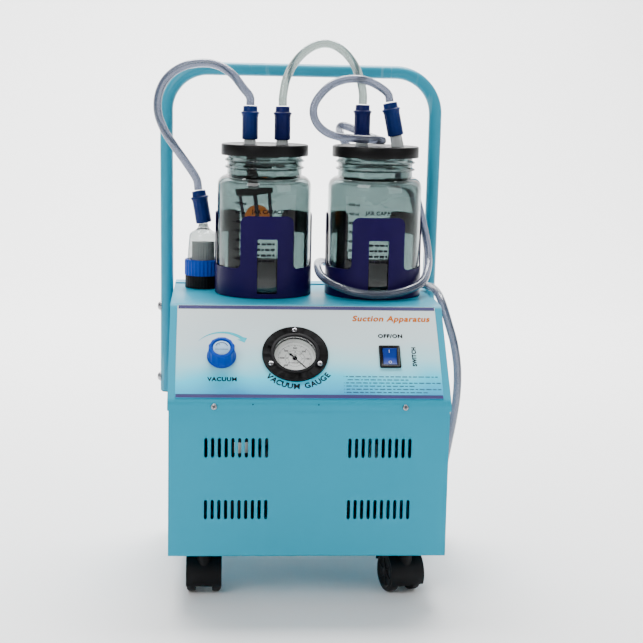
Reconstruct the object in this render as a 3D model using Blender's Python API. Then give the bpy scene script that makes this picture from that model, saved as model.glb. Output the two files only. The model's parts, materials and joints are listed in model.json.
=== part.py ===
"""Portable two-jar suction pump: a sheet-steel cabinet on casters with a sloping control panel,
two glass collection jars in steel holders, a bacterial filter, a U-shaped handle and clear hoses.

Units are metres, +Z is up and the front faces -Y. The origin is on the floor, under the middle
of the cabinet.
"""

import math

import bmesh
import bpy
from mathutils import Matrix, Vector

# ---- driving dimensions -------------------------------------------------------------------

SHEET = 0.0012  # steel sheet thickness
GAP = 0.0004  # clearance between separate pieces that touch
COVER_WIDTH = 0.340
CABINET_DEPTH = 0.316
FRONT_Y = -CABINET_DEPTH / 2
REAR_Y = CABINET_DEPTH / 2
BOX_BOTTOM_Z = 0.063
LIP_BOTTOM_Z = 0.244
LIP_TOP_Z = 0.255
DECK_Z = 0.356
BEND_Y = FRONT_Y + 0.107  # where the sloping panel meets the deck
BOX_HALF = COVER_WIDTH / 2 - SHEET - GAP / 2
BOX_FRONT_Y = FRONT_Y + SHEET + GAP
BOX_TOP_Z = 0.250
SHELL_REAR_Y = REAR_Y - SHEET - GAP

SLOPE = math.atan2(DECK_Z - LIP_TOP_Z, BEND_Y - FRONT_Y)
SLOPE_LENGTH = math.hypot(DECK_Z - LIP_TOP_Z, BEND_Y - FRONT_Y)

# places on the sloping panel: across it, and up it from its lower bend
GAUGE_AT = (-0.0165, 0.0695)
KNOB_AT = (-0.106, 0.0655)
SWITCH_AT = (0.0995, 0.0665)
GAUGE_FLANGE_R = 0.0405
GAUGE_CASE_R = 0.0295
GAUGE_WINDOW_R = 0.0254
GAUGE_SCREW_CIRCLE_R = 0.0340
GAUGE_SCREW_ANGLES = (90, 209, 331)
KNOB_BASE_R = 0.0179
KNOB_HEIGHT = 0.0195
SWITCH_BEZEL = (0.0260, 0.0330)
SWITCH_BODY = (0.0218, 0.0278)
SWITCH_OPENING = (0.0176, 0.0246)
ROCKER_TILT = math.radians(10)
OVERLAY_HALF_WIDTH = 0.161
OVERLAY_SPAN = (0.005, 0.1445)
OVERLAY_THICKNESS = 0.0005

JAR_Y = 0.055
JAR_X = (-0.052, 0.093)
JAR_R = 0.0612
JAR_WALL = 0.003
JAR_MOUTH_Z = 0.5455
HOLDER_R = 0.0634
HOLDER_TURN = (math.radians(3), math.radians(1))  # how far each holder's front tower is turned
HOLDER_BAND_Z = 0.394
HOLDER_TOP_Z = 0.462
LID_R = 0.0566
LID_BOTTOM_Z = 0.5365
LID_TOP_Z = 0.551
PORT_ROOT_Z = LID_TOP_Z - 0.002  # where the ports' axes start
CONNECTOR_LENGTH = 0.0430
LEAN = math.radians(12)  # lean of the patient connector
FILTER_LEAN = math.radians(10)
# jar ports: place across the lid, lean towards -X, jar number and height of the sleeve's foot
PORTS = {
    "a": (-0.0715, 0.0, 1, 0.0074),
    "b": (-0.0295, 0.0, 1, 0.0074),
    "c": (0.0745, 0.0, 2, 0.0115),
    "d": (0.1222, LEAN, 2, 0.0160),
}

FLOAT_TILT = math.radians(7)
FLOAT_TOP = Vector((PORTS["a"][0], JAR_Y, 0.5444))
BALL_R = 0.0170
BALL_DROP = 0.0903  # ball centre below the top of the float's stem, at rest
BALL_TRAVEL = 0.0140

FILTER_AT = (-0.1315, 0.097)

HANDLE_R = 0.00875
HANDLE_Y = 0.140
HANDLE_HALF = 0.181
HANDLE_TOP_Z = 0.6465
HANDLE_END_Z = 0.205
HANDLE_BEND_R = 0.056
HANDLE_SPREAD = 0.0015  # how much further out each leg is at the top
BOLT_Z = (0.323, 0.224)

CASTER_X = 0.1255
CASTER_Y = 0.113
WHEEL_R = 0.025
WHEEL_WIDTH = 0.012
WHEEL_GAP = 0.020
CASTER_TRAIL = 0.016
# each caster: side, end, and the heading of its covered side (0 faces the front)
CASTERS = {
    "front_left": (-1, -1, 0),
    "front_right": (1, -1, 17),
    "rear_left": (-1, 1, -28),
    "rear_right": (1, 1, 12),
}

HOSE_R = 0.0055
PATIENT_HOSE_R = 0.00525

# ---- hose routes: points chosen by hand, from end to end --------------------------------------

FILTER_HOSE = [
    (-0.1385, 0.097, 0.4868), (-0.1410, 0.0969, 0.5010), (-0.153, 0.094, 0.520), (-0.170, 0.091, 0.544),
    (-0.184, 0.087, 0.566), (-0.192, 0.084, 0.590), (-0.190, 0.081, 0.614), (-0.179, 0.077, 0.634),
    (-0.159, 0.073, 0.648), (-0.134, 0.068, 0.653), (-0.113, 0.064, 0.650), (-0.095, 0.060, 0.639),
    (-0.081, 0.057, 0.622), (-0.0722, 0.0552, 0.611), (-0.0715, 0.055, 0.6003),
]
TRANSFER_HOSE = [
    (-0.0295, 0.055, 0.6003), (-0.0293, 0.0555, 0.613), (-0.025, 0.060, 0.635), (-0.015, 0.065, 0.655),
    (0.000, 0.069, 0.671), (0.017, 0.071, 0.680), (0.034, 0.071, 0.680), (0.050, 0.069, 0.671),
    (0.063, 0.064, 0.655), (0.071, 0.059, 0.635), (0.0744, 0.0556, 0.618), (0.0745, 0.055, 0.6044),
]
PATIENT_HOSE = [
    (0.1097, 0.055, 0.6081), (0.1075, 0.0547, 0.6175), (0.098, 0.051, 0.6255), (0.084, 0.047, 0.6325),
    (0.067, 0.042, 0.6365), (0.048, 0.037, 0.635), (0.031, 0.034, 0.628), (0.018, 0.031, 0.616),
    (0.010, 0.029, 0.603), (0.009, 0.027, 0.590), (0.015, 0.025, 0.577), (0.028, 0.024, 0.567),
    (0.045, 0.023, 0.5625), (0.064, 0.023, 0.561), (0.082, 0.027, 0.560), (0.096, 0.037, 0.559),
    (0.1015, 0.054, 0.558), (0.096, 0.071, 0.559), (0.083, 0.083, 0.563), (0.066, 0.088, 0.571),
    (0.052, 0.095, 0.575), (0.049, 0.107, 0.570), (0.053, 0.1175, 0.560), (0.060, 0.1265, 0.549),
    (0.072, 0.1325, 0.540), (0.087, 0.1350, 0.536), (0.105, 0.134, 0.532), (0.126, 0.130, 0.525),
    (0.141, 0.125, 0.512), (0.151, 0.117, 0.495), (0.158, 0.109, 0.474), (0.1635, 0.098, 0.450),
    (0.1675, 0.083, 0.425), (0.1680, 0.064, 0.405), (0.1641, 0.0415, 0.389), (0.1519, 0.0125, 0.376),
    (0.1258, -0.0095, 0.368), (0.0960, -0.0172, 0.3645), (0.0705, -0.0140, 0.366), (0.050, -0.0035, 0.371),
    (0.033, 0.013, 0.378), (0.0225, 0.033, 0.384), (0.0200, 0.055, 0.386), (0.0225, 0.078, 0.382),
    (0.033, 0.101, 0.374), (0.052, 0.117, 0.3665), (0.075, 0.1235, 0.3635), (0.100, 0.1245, 0.3630),
    (0.125, 0.118, 0.3630), (0.147, 0.105, 0.3630), (0.163, 0.087, 0.3640), (0.1725, 0.062, 0.3645),
    (0.1775, 0.034, 0.3610), (0.181, 0.010, 0.350), (0.187, -0.005, 0.328), (0.195, -0.010, 0.300),
    (0.201, -0.006, 0.268), (0.2035, 0.005, 0.232), (0.203, 0.022, 0.195), (0.2015, 0.043, 0.158),
    (0.200, 0.068, 0.118), (0.199, 0.096, 0.080), (0.198, 0.124, 0.046), (0.195, 0.149, 0.022),
    (0.188, 0.168, 0.0100), (0.177, 0.185, 0.0066), (0.159, 0.199, 0.0057), (0.137, 0.212, 0.0057),
    (0.1165, 0.2256, 0.0057),
]
COIL_CENTRE = (0.050, 0.236)
COIL_MEAN_R = 0.058
COIL_OUTER_R = COIL_MEAN_R + PATIENT_HOSE_R
COIL_INNER_R = COIL_MEAN_R - PATIENT_HOSE_R
COIL_HEIGHT = 0.0215
FITTING_ANGLE = 40  # where the hose leaves the coil, and how far from there its fitting starts
FITTING_REACH = 0.0395


# ---- small modelling tools ------------------------------------------------------------------


def clear_scene():
    for old in list(bpy.data.objects):
        bpy.data.objects.remove(old, do_unlink=True)


def material(name, colour, roughness=0.5, metallic=0.0, transmission=0.0):
    made = bpy.data.materials.get(name)
    if made:
        return made
    made = bpy.data.materials.new(name)
    made.use_nodes = True
    shader = made.node_tree.nodes["Principled BSDF"]
    shader.inputs["Base Color"].default_value = (*colour, 1)
    shader.inputs["Roughness"].default_value = roughness
    shader.inputs["Metallic"].default_value = metallic
    shader.inputs["Transmission Weight"].default_value = transmission
    return made


def turquoise():
    return material("turquoise_powder_coat", (0.16, 0.47, 0.58), 0.38)


def indigo():
    return material("indigo_paint", (0.03, 0.02, 0.13), 0.35)


def black_plastic():
    return material("black_plastic", (0.012, 0.012, 0.013), 0.45)


def blue_rubber():
    return material("blue_rubber", (0.01, 0.03, 0.28), 0.5)


def royal_plastic():
    return material("royal_blue_plastic", (0.01, 0.05, 0.45), 0.35)


def glass():
    return material("jar_glass", (0.75, 0.85, 0.82), 0.05, 0.0, 0.9)


def clear_plastic():
    return material("clear_plastic", (0.6, 0.62, 0.6), 0.2, 0.0, 0.7)


def hose_plastic():
    return material("hose_plastic", (0.6, 0.64, 0.7), 0.2, 0.0, 0.6)


def steel():
    return material("zinc_plated_steel", (0.6, 0.6, 0.6), 0.3, 1.0)


def white_plastic():
    return material("white_plastic", (0.85, 0.86, 0.84), 0.4)


def orange_plastic():
    return material("orange_plastic", (0.85, 0.25, 0.02), 0.4)


def aluminium():
    return material("cast_aluminium", (0.55, 0.56, 0.57), 0.45, 1.0)


def brass():
    return material("brass", (0.7, 0.5, 0.2), 0.3, 1.0)


def empty(name, location, rotation=(0, 0, 0)):
    made = bpy.data.objects.new(name, None)
    made.location = location
    made.rotation_euler = rotation
    bpy.context.scene.collection.objects.link(made)
    return made


def add_object(name, mesh, finish, parent=None, location=(0, 0, 0), rotation=(0, 0, 0)):
    made = bpy.data.objects.new(name, mesh)
    made.location = location
    made.rotation_euler = rotation
    made.parent = parent
    if finish and not mesh.materials:
        mesh.materials.append(finish)
    bpy.context.scene.collection.objects.link(made)
    return made


def finish_mesh(bm, name, smooth=None):
    """Turns a bmesh into a mesh with outward faces, shaded smooth below the angle `smooth`."""
    bmesh.ops.remove_doubles(bm, verts=bm.verts, dist=1e-6)
    bmesh.ops.recalc_face_normals(bm, faces=bm.faces)
    mesh = bpy.data.meshes.new(name)
    bm.to_mesh(mesh)
    bm.free()
    if smooth is not None:
        mesh.shade_smooth()
        mesh.set_sharp_from_angle(angle=math.radians(smooth))
    return mesh


def turned(name, profile, steps=32, smooth=35):
    """A mesh turned about Z from (radius, height) points; ends off the axis are joined up."""
    bm = bmesh.new()
    verts = [bm.verts.new((r, 0, z)) for r, z in profile]
    edges = [bm.edges.new(pair) for pair in zip(verts, verts[1:])]
    if profile[0][0] > 0 or profile[-1][0] > 0:
        edges.append(bm.edges.new((verts[-1], verts[0])))
    bmesh.ops.spin(
        bm,
        geom=verts + edges,
        cent=(0, 0, 0),
        axis=(0, 0, 1),
        angle=math.tau,
        steps=steps,
        use_duplicate=False,
    )
    return finish_mesh(bm, name, smooth)


def extruded(name, outline, depth, smooth=None):
    """A flat outline in XY, drawn anticlockwise, extruded from z = 0 to depth."""
    bm = bmesh.new()
    face = bm.faces.new([bm.verts.new((x, y, 0)) for x, y in outline])
    top = bmesh.ops.extrude_face_region(bm, geom=[face])
    moved = [v for v in top["geom"] if isinstance(v, bmesh.types.BMVert)]
    bmesh.ops.translate(bm, verts=moved, vec=(0, 0, depth))
    return finish_mesh(bm, name, smooth)


def block(name, low, high, bevel=0.0, segments=2):
    """A box between two corners with all its edges rounded."""
    bm = bmesh.new()
    bmesh.ops.create_cube(bm, size=1)
    size = [h - l for l, h in zip(low, high)]
    middle = [(h + l) / 2 for l, h in zip(low, high)]
    bmesh.ops.transform(bm, matrix=Matrix.Translation(middle) @ Matrix.Diagonal((*size, 1)), verts=bm.verts)
    if bevel:
        bmesh.ops.bevel(bm, geom=list(bm.edges), offset=bevel, segments=segments, affect="EDGES", profile=0.5)
    return finish_mesh(bm, name)


def arc(cx, cy, radius, start, stop, steps):
    """Points along an arc, angles in degrees."""
    angles = [math.radians(start + (stop - start) * i / steps) for i in range(steps + 1)]
    return [(cx + radius * math.cos(a), cy + radius * math.sin(a)) for a in angles]


def round_rect(width, height, radius, steps=3, centre=(0, 0)):
    cx, cy = centre
    x, y = width / 2 - radius, height / 2 - radius
    return (
        arc(cx + x, cy + y, radius, 0, 90, steps)
        + arc(cx - x, cy + y, radius, 90, 180, steps)
        + arc(cx - x, cy - y, radius, 180, 270, steps)
        + arc(cx + x, cy - y, radius, 270, 360, steps)
    )


def cutter(name, mesh, parent=None, location=(0, 0, 0), rotation=(0, 0, 0)):
    made = add_object(name, mesh, None, parent, location, rotation)
    made.hide_render = True
    made.display_type = "WIRE"
    return made


def combine(target, other, operation="DIFFERENCE"):
    step = target.modifiers.new(other.name, "BOOLEAN")
    step.operation = operation
    step.solver = "EXACT"
    step.object = other


def merged(name, meshes, smooth=None):
    """One mesh holding several closed shapes, for a cutter or as the first step of a union."""
    bm = bmesh.new()
    for mesh in meshes:
        bm.from_mesh(mesh)
    joined = bpy.data.meshes.new(name)
    bm.to_mesh(joined)
    bm.free()
    if smooth is not None:
        joined.shade_smooth()
        joined.set_sharp_from_angle(angle=math.radians(smooth))
    return joined


def moved(mesh, matrix):
    mesh.transform(matrix)
    return mesh


def union_of(name, first, others, finish, parent=None, location=(0, 0, 0), rotation=(0, 0, 0)):
    """One body from overlapping shapes: the others are guides joined by Boolean unions."""
    made = add_object(name, first, finish, parent, location, rotation)
    for number, mesh in enumerate(others, 1):
        combine(made, cutter(f"{name}_part_{number}", mesh, parent, location, rotation), "UNION")
    return made


def smooth_route(points, spacing):
    """Evenly spaced points on a Catmull-Rom curve through the route's own points."""
    ends = [2 * Vector(points[0]) - Vector(points[1])]
    route = ends + [Vector(p) for p in points] + [2 * Vector(points[-1]) - Vector(points[-2])]
    fine = []
    for a, b, c, d in zip(route, route[1:], route[2:], route[3:]):
        for i in range(12):
            t = i / 12
            fine.append(
                0.5 * (
                    (2 * b) + (c - a) * t + (2 * a - 5 * b + 4 * c - d) * t * t
                    + (3 * b - a - 3 * c + d) * t**3
                )
            )
    fine.append(Vector(points[-1]))
    lengths = [0.0]
    for p, q in zip(fine, fine[1:]):
        lengths.append(lengths[-1] + (q - p).length)
    total = lengths[-1]
    count = max(2, round(total / spacing))
    wanted = sorted([total * i / count for i in range(count + 1)] + [0.004, total - 0.004])
    even, j = [], 0
    for want in wanted:
        while j < len(fine) - 2 and lengths[j + 1] < want:
            j += 1
        share = (want - lengths[j]) / max(lengths[j + 1] - lengths[j], 1e-9)
        even.append(fine[j].lerp(fine[j + 1], min(max(share, 0), 1)))
    return even


def tube_curve(name, points, radius, finish, resolution=2):
    data = bpy.data.curves.new(name, "CURVE")
    data.dimensions = "3D"
    data.bevel_depth = radius
    data.bevel_resolution = resolution
    data.use_fill_caps = True
    spline = data.splines.new("POLY")
    spline.points.add(len(points) - 1)
    for point, place in zip(spline.points, points):
        point.co = (*place, 1)
    data.materials.append(finish)
    made = bpy.data.objects.new(name, data)
    bpy.context.scene.collection.objects.link(made)
    return made


# ---- cabinet -----------------------------------------------------------------------------------


def prism_along_x(name, outline, half_width, bevelled=(), bevel=0.0):
    """A side profile of (y, z) points stretched across the cabinet.
    `bevelled` gives the profile corners whose long edges are rounded."""
    bm = bmesh.new()
    left = [bm.verts.new((-half_width, y, z)) for y, z in outline]
    face = bm.faces.new(left)
    top = bmesh.ops.extrude_face_region(bm, geom=[face])
    right = [v for v in top["geom"] if isinstance(v, bmesh.types.BMVert)]
    bmesh.ops.translate(bm, verts=right, vec=(2 * half_width, 0, 0))
    if bevel:
        corners = [Vector(outline[i]) for i in bevelled]
        long_edges = [
            e
            for e in bm.edges
            if abs(e.verts[0].co.x - e.verts[1].co.x) > half_width
            and any((e.verts[0].co.yz - c).length < 1e-6 for c in corners)
        ]
        bmesh.ops.bevel(bm, geom=long_edges, offset=bevel, segments=4, affect="EDGES", profile=0.5)
    return finish_mesh(bm, name, 30)


def vent_slots(name, groups, columns, pitch, width, height, y_from, y_to):
    """Upright slots with round ends, in groups given by their middles, cut along Y."""
    slots = []
    for cx, cz in groups:
        for i in range(columns):
            x = cx + (i - (columns - 1) / 2) * pitch
            half = (height - width) / 2
            outline = arc(x, cz + half, width / 2, 0, 180, 3) + arc(x, cz - half, width / 2, 180, 360, 3)
            slot = extruded(name, outline, y_to - y_from)
            slots.append(moved(slot, Matrix.Translation((0, y_to, 0)) @ Matrix.Rotation(math.pi / 2, 4, "X")))
    return merged(name, slots)


def hole(radius, length, steps=16):
    """A round hole cutter about Z, centred on the origin."""
    return turned(
        "hole", [(0, length / 2), (radius, length / 2), (radius, -length / 2), (0, -length / 2)], steps,
    )


def up(height):
    return Matrix.Translation((0, 0, height))


ALONG_X = Matrix.Rotation(math.pi / 2, 4, "Y")
ALONG_Y = Matrix.Rotation(math.pi / 2, 4, "X")
COVER_SCREWS = (-0.1145, 0.1145)
COVER_SCREW_Z = 0.2492


def lower_cabinet():
    wall = SHEET
    outline = [
        (BOX_FRONT_Y, BOX_BOTTOM_Z),
        (SHELL_REAR_Y, BOX_BOTTOM_Z),
        (SHELL_REAR_Y, BOX_TOP_Z),
        (BOX_FRONT_Y, BOX_TOP_Z),
    ]
    body = add_object(
        "lower_cabinet", prism_along_x("lower_cabinet", outline, BOX_HALF, (0,), 0.003), turquoise(),
    )
    inside = [
        (BOX_FRONT_Y + wall, BOX_BOTTOM_Z + wall),
        (REAR_Y + 0.02, BOX_BOTTOM_Z + wall),
        (REAR_Y + 0.02, BOX_TOP_Z + 0.02),
        (BOX_FRONT_Y + wall, BOX_TOP_Z + 0.02),
    ]
    combine(body, cutter("cabinet_inside", prism_along_x("cabinet_inside", inside, BOX_HALF - wall)))
    groups = [(x, z) for x in (-0.0875, 0.0850) for z in (0.1985, 0.1220)]
    slots = vent_slots(
        "front_vents", groups, 10, 0.00805, 0.0040, 0.0245, BOX_FRONT_Y - 0.01, BOX_FRONT_Y + 0.01,
    )
    combine(body, cutter("front_vents", slots))
    small = [moved(hole(0.0034, 0.4), Matrix.Translation((0, HANDLE_Y, BOLT_Z[1])) @ ALONG_X)]
    for x in COVER_SCREWS:
        place = Matrix.Translation((x, FRONT_Y, COVER_SCREW_Z))
        small.append(moved(hole(0.0020, 0.02, 12), place @ ALONG_Y))
    for side, end, _ in CASTERS.values():
        place = Matrix.Translation((side * CASTER_X, end * CASTER_Y, BOX_BOTTOM_Z))
        small.append(moved(hole(0.0062, 0.02), place))
    combine(body, cutter("cabinet_holes", merged("cabinet_holes", small)))
    return body


def panel_empty():
    """The frame of the sloping panel: +Y runs up it and +Z stands out of it."""
    return empty("panel_frame", (0, FRONT_Y, LIP_TOP_Z), (SLOPE, 0, 0))


def panel_openings(reach):
    """Everything that is cut through the sloping panel and the sheets on it."""
    gx, gy = GAUGE_AT
    cuts = [
        moved(hole(GAUGE_CASE_R + 0.001, reach, 32), Matrix.Translation((gx, gy, 0))),
        moved(hole(0.0062, reach), Matrix.Translation((*KNOB_AT, 0))),
    ]
    for degrees in GAUGE_SCREW_ANGLES:
        a = math.radians(degrees)
        x, y = gx + GAUGE_SCREW_CIRCLE_R * math.cos(a), gy + GAUGE_SCREW_CIRCLE_R * math.sin(a)
        cuts.append(moved(hole(0.0019, reach, 12), Matrix.Translation((x, y, 0))))
    w, h = (size + 0.0008 for size in SWITCH_BODY)
    x, y = SWITCH_AT
    cuts.append(block("switch_hole", (x - w / 2, y - h / 2, -reach / 2), (x + w / 2, y + h / 2, reach / 2)))
    return merged("panel_openings", cuts)


def top_cover(panel):
    outline = [
        (FRONT_Y, LIP_BOTTOM_Z),
        (SHELL_REAR_Y, LIP_BOTTOM_Z),
        (SHELL_REAR_Y, DECK_Z),
        (BEND_Y, DECK_Z),
        (FRONT_Y, LIP_TOP_Z),
    ]
    mesh = prism_along_x("top_cover", outline, COVER_WIDTH / 2, (3, 4), 0.0045)
    body = add_object("top_cover", mesh, turquoise())
    t = SHEET
    inner_low_z = LIP_TOP_Z - t * (1 - math.sin(SLOPE)) / math.cos(SLOPE)
    inner_bend_y = BEND_Y + t * (1 - math.cos(SLOPE)) / math.sin(SLOPE)
    inside = [
        (FRONT_Y + t, LIP_BOTTOM_Z - 0.02),
        (REAR_Y + 0.02, LIP_BOTTOM_Z - 0.02),
        (REAR_Y + 0.02, DECK_Z - t),
        (inner_bend_y, DECK_Z - t),
        (FRONT_Y + t, inner_low_z),
    ]
    space = prism_along_x("cover_inside", inside, COVER_WIDTH / 2 - t, (3, 4), 0.0040)
    combine(body, cutter("cover_inside", space))
    combine(body, cutter("cover_panel_openings", panel_openings(0.012), panel))
    small = [
        moved(hole(0.0034, 0.4), Matrix.Translation((0, HANDLE_Y, BOLT_Z[0])) @ ALONG_X),
        moved(hole(0.0052, 0.02), Matrix.Translation((*FILTER_AT, DECK_Z))),
    ]
    for x in COVER_SCREWS:
        place = Matrix.Translation((x, FRONT_Y, COVER_SCREW_Z))
        small.append(moved(hole(0.0020, 0.012, 12), place @ ALONG_Y))
    combine(body, cutter("cover_holes", merged("cover_holes", small)))
    return body


REAR_FLANGE_Y = REAR_Y - 0.0287  # front edge of the rear panel's flange on the deck
INLET_AT = (0.100, 0.105)
INLET_CUTOUT = (0.0480, 0.0280)


def rear_panel():
    z0, z1 = BOX_BOTTOM_Z + 0.003, DECK_Z + GAP + SHEET
    outline = [
        (REAR_FLANGE_Y, DECK_Z + GAP),
        (REAR_Y - SHEET, DECK_Z + GAP),
        (REAR_Y - SHEET, z0),
        (REAR_Y, z0),
        (REAR_Y, z1),
        (REAR_FLANGE_Y, z1),
    ]
    mesh = prism_along_x("rear_panel", outline, COVER_WIDTH / 2 - 0.0008, (4,), 0.0010)
    body = add_object("rear_panel", mesh, turquoise())
    groups = [(x, 0.290) for x in (-0.085, 0.085)]
    slots = vent_slots("rear_vents", groups, 10, 0.00805, 0.0040, 0.0245, REAR_Y - 0.01, REAR_Y + 0.01)
    combine(body, cutter("rear_vents", slots))
    x, z = INLET_AT
    w, h = INLET_CUTOUT
    inlet = block("inlet_hole", (x - w / 2, REAR_Y - 0.01, z - h / 2), (x + w / 2, REAR_Y + 0.01, z + h / 2))
    combine(body, cutter("inlet_hole", inlet))
    return body


def power_inlet():
    """Mains inlet with its fuse drawer: a flanged body whose socket is open to the rear."""
    x, z = INLET_AT
    flange = moved(
        extruded("inlet_flange", round_rect(0.058, 0.034, 0.004), 0.003),
        Matrix.Translation((x, REAR_Y + GAP + 0.003, z)) @ ALONG_Y,
    )
    w, h = INLET_CUTOUT
    inner = (w / 2 - 0.0005, h / 2 - 0.0005)
    core = block(
        "inlet_core", (x - inner[0], REAR_Y - 0.022, z - inner[1]),
        (x + inner[0], REAR_Y + 0.002, z + inner[1]),
    )
    body = union_of("power_inlet", flange, [core], black_plastic())
    socket = block(
        "inlet_socket", (x - 0.022, REAR_Y - 0.015, z - 0.009), (x + 0.006, REAR_Y + 0.02, z + 0.009),
    )
    combine(body, cutter("inlet_socket", socket))
    return body


def cover_screws():
    profile = [
        (0, 0.0024), (0.0018, 0.0023), (0.0032, 0.0016), (0.0038, 0.0002), (0.0038, 0), (0.0016, 0),
        (0.0016, -0.008), (0, -0.008),
    ]
    for number, x in enumerate(COVER_SCREWS, 1):
        add_object(
            f"cover_screw_{number}",
            turned("cover_screw", profile, 10),
            steel(),
            None,
            (x, FRONT_Y - GAP, COVER_SCREW_Z),
            (math.pi / 2, 0, 0),
        )


# ---- control panel --------------------------------------------------------------------------------


def control_overlay(panel):
    low, high = OVERLAY_SPAN
    outline = round_rect(2 * OVERLAY_HALF_WIDTH, high - low, 0.002, 2, (0, (low + high) / 2))
    sheet = extruded("control_overlay", outline, OVERLAY_THICKNESS)
    body = add_object("control_overlay", sheet, white_plastic(), panel, (0, 0, GAP))
    combine(body, cutter("overlay_openings", panel_openings(0.012), panel))
    return body


PANEL_SKIN = GAP + OVERLAY_THICKNESS + GAP  # height above the steel at which fittings sit


def gauge(panel):
    x, y = GAUGE_AT
    base = PANEL_SKIN
    front = base + 0.003
    floor = -0.009
    profile = [
        (0, -0.044), (0.005, -0.044), (0.005, -0.028), (GAUGE_CASE_R, -0.028), (GAUGE_CASE_R, base),
        (GAUGE_FLANGE_R, base), (GAUGE_FLANGE_R, front - 0.0008), (GAUGE_FLANGE_R - 0.0008, front),
        (GAUGE_WINDOW_R + 0.0004, front), (GAUGE_WINDOW_R + 0.0004, floor), (0, floor),
    ]
    case = add_object("gauge_case", turned("gauge_case", profile, 32), black_plastic(), panel, (x, y, 0))
    holes = []
    screw_profile = [
        (0, 0.0020), (0.0018, 0.0019), (0.0030, 0.0012), (0.0035, 0.0001), (0.0035, 0), (0.0015, 0),
        (0.0015, -0.010), (0, -0.010),
    ]
    for number, degrees in enumerate(GAUGE_SCREW_ANGLES, 1):
        a = math.radians(degrees)
        dx, dy = GAUGE_SCREW_CIRCLE_R * math.cos(a), GAUGE_SCREW_CIRCLE_R * math.sin(a)
        holes.append(moved(hole(0.0019, 0.02, 12), Matrix.Translation((dx, dy, 0))))
        add_object(
            f"gauge_screw_{number}", turned("gauge_screw", screw_profile, 10), steel(), panel,
            (x + dx, y + dy, front + GAP),
        )
    combine(case, cutter("gauge_screw_holes", merged("gauge_screw_holes", holes), panel, (x, y, 0)))
    dial_z = floor + GAP
    dial = [
        (0.0012, dial_z), (GAUGE_WINDOW_R, dial_z), (GAUGE_WINDOW_R, dial_z + 0.001),
        (0.0012, dial_z + 0.001),
    ]
    add_object("gauge_dial", turned("gauge_dial", dial, 24), white_plastic(), panel, (x, y, 0))
    glass_z = front - 0.0025
    pane = [
        (0, glass_z), (GAUGE_WINDOW_R, glass_z), (GAUGE_WINDOW_R, glass_z + 0.0015), (0, glass_z + 0.0015),
    ]
    add_object("gauge_glass", turned("gauge_glass", pane, 24), clear_plastic(), panel, (x, y, 0))
    hub, tip, tail = 0.0034, 0.0195, 0.0085
    blade = (
        [(tip, -0.0003), (tip, 0.0003)]
        + arc(0, 0, hub, 20, 150, 5)
        + [(-tail, 0.0016), (-tail, -0.0016)]
        + arc(0, 0, hub, 210, 340, 5)
    )
    pointer_z = dial_z + 0.001 + GAP
    zero_angle = math.radians(-47)
    add_object(
        "gauge_pointer",
        extruded("gauge_pointer", blade, 0.0008),
        black_plastic(),
        panel,
        (x, y, pointer_z),
        (0, 0, zero_angle),
    )


def regulator(panel):
    valve = [
        (0, -0.032), (0.011, -0.032), (0.011, -SHEET - GAP), (0.0055, -SHEET - GAP), (0.0055, 0.005),
        (0.0034, 0.005), (0.0034, -0.0195), (0, -0.0195),
    ]
    add_object("regulator_valve", turned("regulator_valve", valve, 14), brass(), panel, (*KNOB_AT, 0))
    base = PANEL_SKIN
    face = base + KNOB_HEIGHT
    r = KNOB_BASE_R
    knob = [
        (0, -0.018), (0.003, -0.018), (0.003, 0.0062), (0.0066, 0.0062), (0.0066, base), (r, base),
        (r, base + 0.0025),
        (r - 0.0012, base + 0.0035), (r - 0.0017, face - 0.001), (r - 0.0027, face), (0.0118, face),
        (0.0112, face - 0.0022), (0, face - 0.0022),
    ]
    add_object("vacuum_knob", turned("vacuum_knob", knob, 24, 30), royal_plastic(), panel, (*KNOB_AT, 0))


ROCKER_PIVOT_Z = -0.002


def power_switch(panel):
    x, y = SWITCH_AT
    base = PANEL_SKIN
    front = base + 0.002
    bezel = moved(
        extruded("switch_bezel", round_rect(*SWITCH_BEZEL, 0.0015, 2), front - base),
        Matrix.Translation((0, 0, base)),
    )
    bw, bh = SWITCH_BODY
    core = block("switch_core", (-bw / 2, -bh / 2, -0.018), (bw / 2, bh / 2, base + 0.001))
    body = union_of("switch_housing", bezel, [core], black_plastic(), panel, (x, y, 0))
    ow, oh = SWITCH_OPENING
    room = block("switch_room", (-ow / 2, -oh / 2, -0.0095), (ow / 2, oh / 2, 0.02))
    combine(body, cutter("switch_room", room, panel, (x, y, 0)))
    half = oh / 2 - 0.0011
    profile = [
        (-half, 0.0066), (-0.0092, -0.0035), (0.0092, -0.0035), (half, 0.0066), (0.0035, 0.0046),
        (-0.0035, 0.0046),
    ]
    paddle = extruded("switch_rocker", profile, ow - 0.0008)
    across = Matrix(((0, 0, 1, -(ow - 0.0008) / 2), (1, 0, 0, 0), (0, 1, 0, 0), (0, 0, 0, 1)))
    add_object(
        "switch_rocker", moved(paddle, across), royal_plastic(), panel, (x, y, ROCKER_PIVOT_Z),
        (ROCKER_TILT, 0, 0),
    )


# ---- handle ------------------------------------------------------------------------------------------


def handle_path():
    """The U of the handle, from the end of the left leg over the top to the right leg."""
    foot, top = HANDLE_HALF, HANDLE_HALF + HANDLE_SPREAD
    r = HANDLE_BEND_R
    left = [(-foot, HANDLE_END_Z), (-foot, 0.36), (-(foot + top) / 2, 0.46)]
    corner = arc(-top + r, HANDLE_TOP_Z - r, r, 180, 90, 9)
    half = left + corner
    return [Vector((x, HANDLE_Y, z)) for x, z in half] + [
        Vector((-x, HANDLE_Y, z)) for x, z in reversed(half)
    ]


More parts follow.
